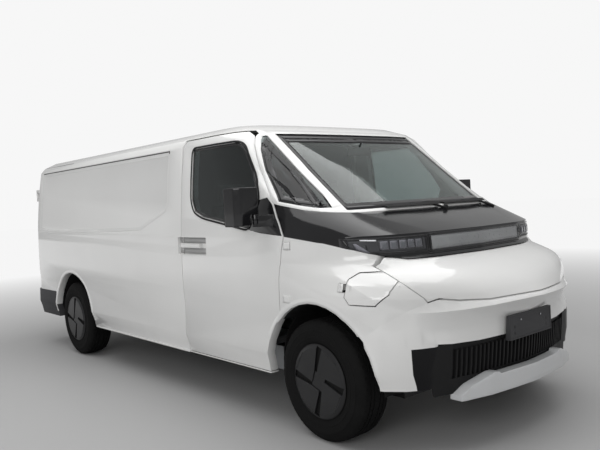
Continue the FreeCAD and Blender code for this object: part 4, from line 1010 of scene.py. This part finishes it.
def fill_cloth(piece, held):
    """Blows a remeshed cover up with a soft pressure; the held test picks the seam points."""
    start = [vert.co.copy() for vert in piece.data.vertices]
    group = piece.vertex_groups.new(name="seams")
    group.add([index for index, spot in enumerate(start) if held(spot)], 1.0, "REPLACE")
    made = piece.modifiers.new("cloth", "CLOTH")
    for key, value in CLOTH_FACTS.items():
        setattr(made.settings, key, value)
    made.settings.effector_weights.gravity = 0
    made.point_cache.frame_start = 1
    made.point_cache.frame_end = CLOTH_FRAMES
    for frame_number in range(1, CLOTH_FRAMES + 1):
        scene.frame_set(frame_number)
    shaped = piece.evaluated_get(bpy.context.evaluated_depsgraph_get()).data
    ends = [vert.co.copy() for vert in shaped.vertices]
    piece.modifiers.remove(made)
    scene.frame_set(1)
    for vert, first, last in zip(piece.data.vertices, start, ends):
        move = last - first
        if move.length > CLOTH_LIMIT:
            move *= CLOTH_LIMIT / move.length
        vert.co = first + move
    piece.data.update()


def cushion_form(name, low, high, seams, narrow=0.0):
    """A soft block with pinned seams, made once and copied to the other seats."""
    form = bmesh.new()
    slab(form, low, high, narrow)
    bmesh.ops.bevel(form, geom=form.edges[:], offset=0.030, segments=4, profile=0.6, affect="EDGES")
    piece = placed(name, mesh_of(form, name))
    modify(piece, "remesh", "REMESH", mode="VOXEL", voxel_size=FINE_VOXEL)
    shaped = piece.evaluated_get(bpy.context.evaluated_depsgraph_get())
    fine = bpy.data.meshes.new_from_object(shaped)
    piece.modifiers.clear()
    piece.data = fine
    fill_cloth(piece, seams)
    bpy.data.objects.remove(piece)
    return fine


def place_cushion(name, fine, centre, width, limits):
    """Sets a copy of a cushion form in the seat's own space."""
    mesh = fine.copy()
    spots = [vert.co.copy() for vert in mesh.vertices]
    low = Vector([min(spot[i] for spot in spots) for i in range(3)])
    high = Vector([max(spot[i] for spot in spots) for i in range(3)])
    for vert in mesh.vertices:
        for axis in range(3):
            share = (vert.co[axis] - low[axis]) / (high[axis] - low[axis])
            near, far = limits[axis] if axis != 1 else (centre - width / 2, centre + width / 2)
            vert.co[axis] = near + (far - near) * share
    mesh.materials.clear()
    piece = add_piece(name, mesh, (SURFACES["seat_cloth"], "seat_cloth"), "body")
    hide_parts("seats")


def base_seam(spot):
    flank = abs(abs(spot.y) - 0.150) < SEAM_REACH
    across = abs(spot.x - 0.90) < SEAM_REACH and spot.z > 0.80
    return spot.z < 0.760 or flank or across


def back_seam(spot):
    return spot.x < 0.490 or abs(abs(spot.y) - 0.140) < SEAM_REACH or abs(spot.z - 1.18) < SEAM_REACH


def rest_seam(spot):
    return spot.x < 0.472


# Name, middle and width of each seat, and of each hard plinth and back shell
SEATS = (("driver", 0.455, 0.500), ("middle", -0.108, 0.430), ("window", -0.552, 0.430))
CARRIERS = (("driver", 0.455, 0.50), ("bench", -0.33, 0.88))
SEAT_HALF = 0.25


def make_seats():
    seat = cushion_form("seat_form", (0.475, -SEAT_HALF, 0.745), (1.015, SEAT_HALF, 0.858), base_seam)
    back = cushion_form("back_form", (0.470, -SEAT_HALF, 0.885), (0.600, SEAT_HALF, 1.385), back_seam, 0.055)
    rest = cushion_form("rest_form", (0.464, -0.12, 1.415), (0.520, 0.12, 1.550), rest_seam)
    for name, centre, width in SEATS:
        place_cushion(name + "_seat", seat, centre, width, ((0.460, 1.028), None, (0.735, 0.872)))
        place_cushion(name + "_back", back, centre, width, ((0.460, 0.615), None, (0.880, 1.388)))
        place_cushion(name + "_headrest", rest, centre, 0.24, ((0.458, 0.524), None, (1.412, 1.556)))
        for step in (-0.06, 0.06):
            ends = [(0.490, centre + step, z) for z in (1.380, 1.425)]
            post = rod("%s_rest_post_%d" % (name, step > 0), ends, (0.006, 0.006), (CHROME, "seat_cloth"))
            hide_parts("seats")
    hard = (SURFACES["cabin_plastic"], "seat_cloth")
    for name, centre, width in CARRIERS:
        box = boxed(name + "_plinth", (0.725, centre, 0.637), (0.450, width - 0.03, 0.186), hard, edge=0.012)
        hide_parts("seats")
        shell = boxed(name + "_shell", (0.4665, centre, 1.120), (0.018, width - 0.02, 0.500), hard,
                      edge=0.006)
        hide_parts("seats")


# Wheels, plate bolts and the paints that change from place to place

COVER_FACE = 0.9768
DISC_INNER = 0.790
BOLT_X = 2.6575


def make_wheel_details():
    steel = (SURFACES["forged_steel"], "forged_steel")
    for place, x in (("front", FRONT_AXLE), ("rear", REAR_AXLE)):
        for hand, side in SIDES.items():
            body = "%s_wheel_body_%s" % (place, hand)
            y = side * COVER_FACE
            for step in range(4):
                angle = math.radians(step * 90 + 20)
                spot = Matrix.Rotation(-angle, 3, "Y") @ Vector((0.150, 0, 0.110))
                boxed("%s_blade_rib_%s_%d" % (place, hand, step),
                      (x + spot.x, y - side * 0.0012, AXLE_HEIGHT + spot.z), (0.004, 0.003, 0.120),
                      (SURFACES["wheel_black"], "wheel_black"), body, 0.001,
                      Matrix.Rotation(-angle - math.radians(40), 3, "Y"))
            inner = Vector((x, side * DISC_INNER, AXLE_HEIGHT))
            outer = inner + Vector((0, side * 0.024, 0))
            rod("%s_brake_disc_%s" % (place, hand), [inner, outer], (0.155, 0.155), steel, body, 64)


def make_plate_bolts():
    for y in (-0.105, 0.105):
        ends = [(BOLT_X - 0.006, y, 0.664), (BOLT_X, y, 0.664)]
        rod("plate_bolt_%d" % (y > 0), ends, (0.0058, 0.0058), BRIGHT, sides=6)


CORNER_X = 2.440
CORNER_Z = 0.592
SHARP = 0.0005


def bumper_paint():
    """White paint that turns to the black corner panels low on the bumper's front."""
    shade = paint_shade("bumper_paint", (0.80, 0.80, 0.79))
    fore = shade.ramp(shade.axis("X"), 0.0, 1.0, CORNER_X - SHARP, CORNER_X + SHARP)
    low = shade.ramp(shade.axis("Z"), 1.0, 0.0, CORNER_Z - SHARP, CORNER_Z + SHARP)
    both = shade.maths("MULTIPLY", fore, low)
    clean = shade.shader.inputs["Base Color"].links[0].from_socket
    shade.colour(shade.mix(both, clean, (0.005, 0.005, 0.006)))
    shade.link(shade.ramp(both, 1.0, 0.0), shade.shader.inputs["Coat Weight"])
    shade.link(shade.ramp(both, 0.5, 0.2), shade.shader.inputs["Specular IOR Level"])
    return shade.material


def wheel_paint():
    """Satin black on the cover's face, dull in its slots, where painted shade makes the colour darker."""
    shade = Shade("wheel_paint")
    face = shade.ramp(shade.maths("ABSOLUTE", shade.axis("Y")), 0.0, 1.0, 0.963, 0.969)
    wide = shade.ramp(shade.noise(6.0, 4.0), 0.0, 1.0, 0.3, 0.7)
    front = shade.mix(wide, (0.010, 0.010, 0.011), (0.016, 0.016, 0.017))
    # Painted shade: everything deeper than the cover's face is near black
    shade.colour(shade.mix(face, (0.0015, 0.0015, 0.0015), front))
    shade.rough(shade.ramp(face, 0.85, 0.30))
    shade.bump((shade.noise(700.0, 2.0), 0.10, 0.0002))
    shade.put(Specular_IOR_Level=0.4)
    return shade.material


def repaint_nodes():
    """Gives the bumper and the wheels the paints that change from place to place."""
    NODES["front_bumper"].data.materials[0] = bumper_paint()
    cover = wheel_paint()
    for name, node in NODES.items():
        if name.startswith(("front_wheel", "rear_wheel")):
            node.data.materials[0] = cover


# Grey paint for the painted shade in the door handle recesses
POCKET_SHADE = (paint("pocket_painted_shade", (0.40, 0.40, 0.40), 0.3), "white_paint")
# Dark grey for the painted shadow under and at the front end of each drip rail
PAINTED_SHADOW = (grained("painted_shadow_strip", (0.07, 0.07, 0.07), 0.8), "black_panel")
PRINT = (gloss_black("glass_print", (0.010, 0.010, 0.011), 0.08), "black_panel")
LAMP_GREY = grained("lamp_housing", (0.060, 0.061, 0.066), 0.25, 1200.0, 0.0001, 0.1)
LAMP_DARK = gloss_black("lamp_well", (0.030, 0.031, 0.034), 0.15)
LAMP_EYE = gloss_black("lamp_eye", (0.090, 0.095, 0.105), 0.05)
LAMP_SILVER = metal("lamp_silver", (0.16, 0.16, 0.18), 0.25, 0.7)
DAY_BAR = paint("day_bar", (0.93, 0.94, 0.97), 0.6)
BAR_GREY = (gloss_black("bar_face", (0.20, 0.205, 0.21), 0.30), "lamp_lens")
CHROME = metal("bright_metal", (0.42, 0.43, 0.45), 0.18, 1.0)
BRIGHT = (CHROME, "grey_plastic")
MIRROR = (metal("mirror_coat", (0.80, 0.82, 0.84), 0.09, 1.0), "dark_glass")
LENSES = {"clear": (paint("clear_lens", (0.62, 0.62, 0.62), 1.0), "red_lens"),
          "amber": (paint("amber_lens", (0.60, 0.18, 0.01), 1.0), "red_lens"),
          "red": (paint("red_segment", (0.42, 0.008, 0.008), 1.0), "red_lens")}
ROOF_CLOTH = (cloth("roof_cloth", (0.30, 0.30, 0.30), 400.0), "liner_felt")

soften_nodes()
repaint_nodes()
make_tyres()
make_window_borders()
make_headlamps()
make_light_bar()
make_tail_lamps()
make_body_details()
make_press_edges()
make_hinge_covers()
make_handle_pockets()
make_drip_rails()
make_mirrors()
make_wiper_arms()
make_cab()
make_seats()
make_wheel_details()
make_plate_bolts()


# Stage: floor, light and camera

def stage_material(name, colour, near, far):
    """Diffuse near the object, plain white further out for what the camera or glass sees."""
    shade = Shade(name)
    shade.put(Roughness=0.55, Specular_IOR_Level=0.25)
    shade.shader.inputs["Base Color"].default_value = (*colour, 1.0)
    length = shade.node("ShaderNodeVectorMath", operation="LENGTH")
    shade.link(shade.place, length.inputs[0])
    away = shade.ramp(length.outputs["Value"], 0.0, 1.0, near, far)
    path = shade.node("ShaderNodeLightPath").outputs
    through = shade.maths("MAXIMUM", path["Is Glossy Ray"], path["Is Transmission Ray"])
    seen = shade.maths("MAXIMUM", path["Is Camera Ray"], through)
    white = shade.node("ShaderNodeEmission")
    white.inputs["Color"].default_value = (0.92, 0.92, 0.92, 1.0)
    blend = shade.node("ShaderNodeMixShader")
    shade.link(shade.maths("MULTIPLY", away, seen), blend.inputs["Fac"])
    shade.link(shade.shader.outputs[0], blend.inputs[1])
    shade.link(white.outputs[0], blend.inputs[2])
    shade.link(blend.outputs[0], shade.tree.nodes["Material Output"].inputs["Surface"])
    return shade.material


FLOOR_REACH = 60.0
FLOOR_NEAR, FLOOR_FAR = 3.2, 11.0


def make_floor():
    mesh = bpy.data.meshes.new("floor")
    corners = rect(-FLOOR_REACH, FLOOR_REACH, -FLOOR_REACH, FLOOR_REACH)
    mesh.from_pydata([(x, y, 0) for x, y in corners], [], [(0, 1, 2, 3)])
    floor = placed("floor", mesh)
    mesh.materials.append(stage_material("floor", (0.42, 0.42, 0.42), FLOOR_NEAR, FLOOR_FAR))


def area_light(name, place, target, size, power):
    data = bpy.data.lights.new(name, "AREA")
    data.shape = "RECTANGLE"
    data.size, data.size_y = size
    data.energy = power
    lamp = placed(name, data)
    lamp.location = place
    aim = Vector(target) - Vector(place)
    lamp.rotation_mode = "QUATERNION"
    lamp.rotation_quaternion = aim.to_track_quat("-Z", "Y")
    lamp.visible_camera = False


WORLD_LIGHT = 0.42
WORLD_SEEN = 0.93


def make_light():
    area_light("ceiling", (0.5, -0.5, 6.0), (0.0, 0.0, 0.0), (9.0, 6.0), 330)
    area_light("front_right", (5.5, -7.0, 3.6), (0.0, 0.0, 0.9), (5.0, 3.0), 150)
    world = bpy.data.worlds.new("studio")
    world.use_nodes = True
    tree = world.node_tree
    back = tree.nodes["Background"]
    back.inputs["Color"].default_value = (1.0, 1.0, 1.0, 1.0)
    path = tree.nodes.new("ShaderNodeLightPath").outputs
    seen = number(tree, "MAXIMUM", path["Is Camera Ray"], path["Is Transmission Ray"])
    tree.links.new(mapped(tree, seen, WORLD_LIGHT, WORLD_SEEN), back.inputs["Strength"])
    scene.world = world


CAMERA_ANGLES = (139.685, -2.207, -3.131)
CAMERA_PLACE = (4.7166, -3.4655, 1.4140)


def make_camera():
    """The camera that fits the photograph."""
    yaw, pitch, roll = (math.radians(angle) for angle in CAMERA_ANGLES)
    ahead = Vector((math.cos(pitch) * math.cos(yaw), math.cos(pitch) * math.sin(yaw), math.sin(pitch)))
    level = ahead.cross(Vector((0, 0, 1))).normalized()
    above = level.cross(ahead)
    right = level * math.cos(roll) + above * math.sin(roll)
    top = above * math.cos(roll) - level * math.sin(roll)
    data = bpy.data.cameras.new("camera")
    data.sensor_width = 36.0
    data.lens = 39.69
    camera = placed("camera", data)
    rows = [(right[i], top[i], -ahead[i], CAMERA_PLACE[i]) for i in range(3)]
    camera.matrix_world = Matrix((*rows, (0, 0, 0, 1)))
    scene.camera = camera


make_floor()
make_light()
make_camera()
scene.view_settings.view_transform = "Standard"
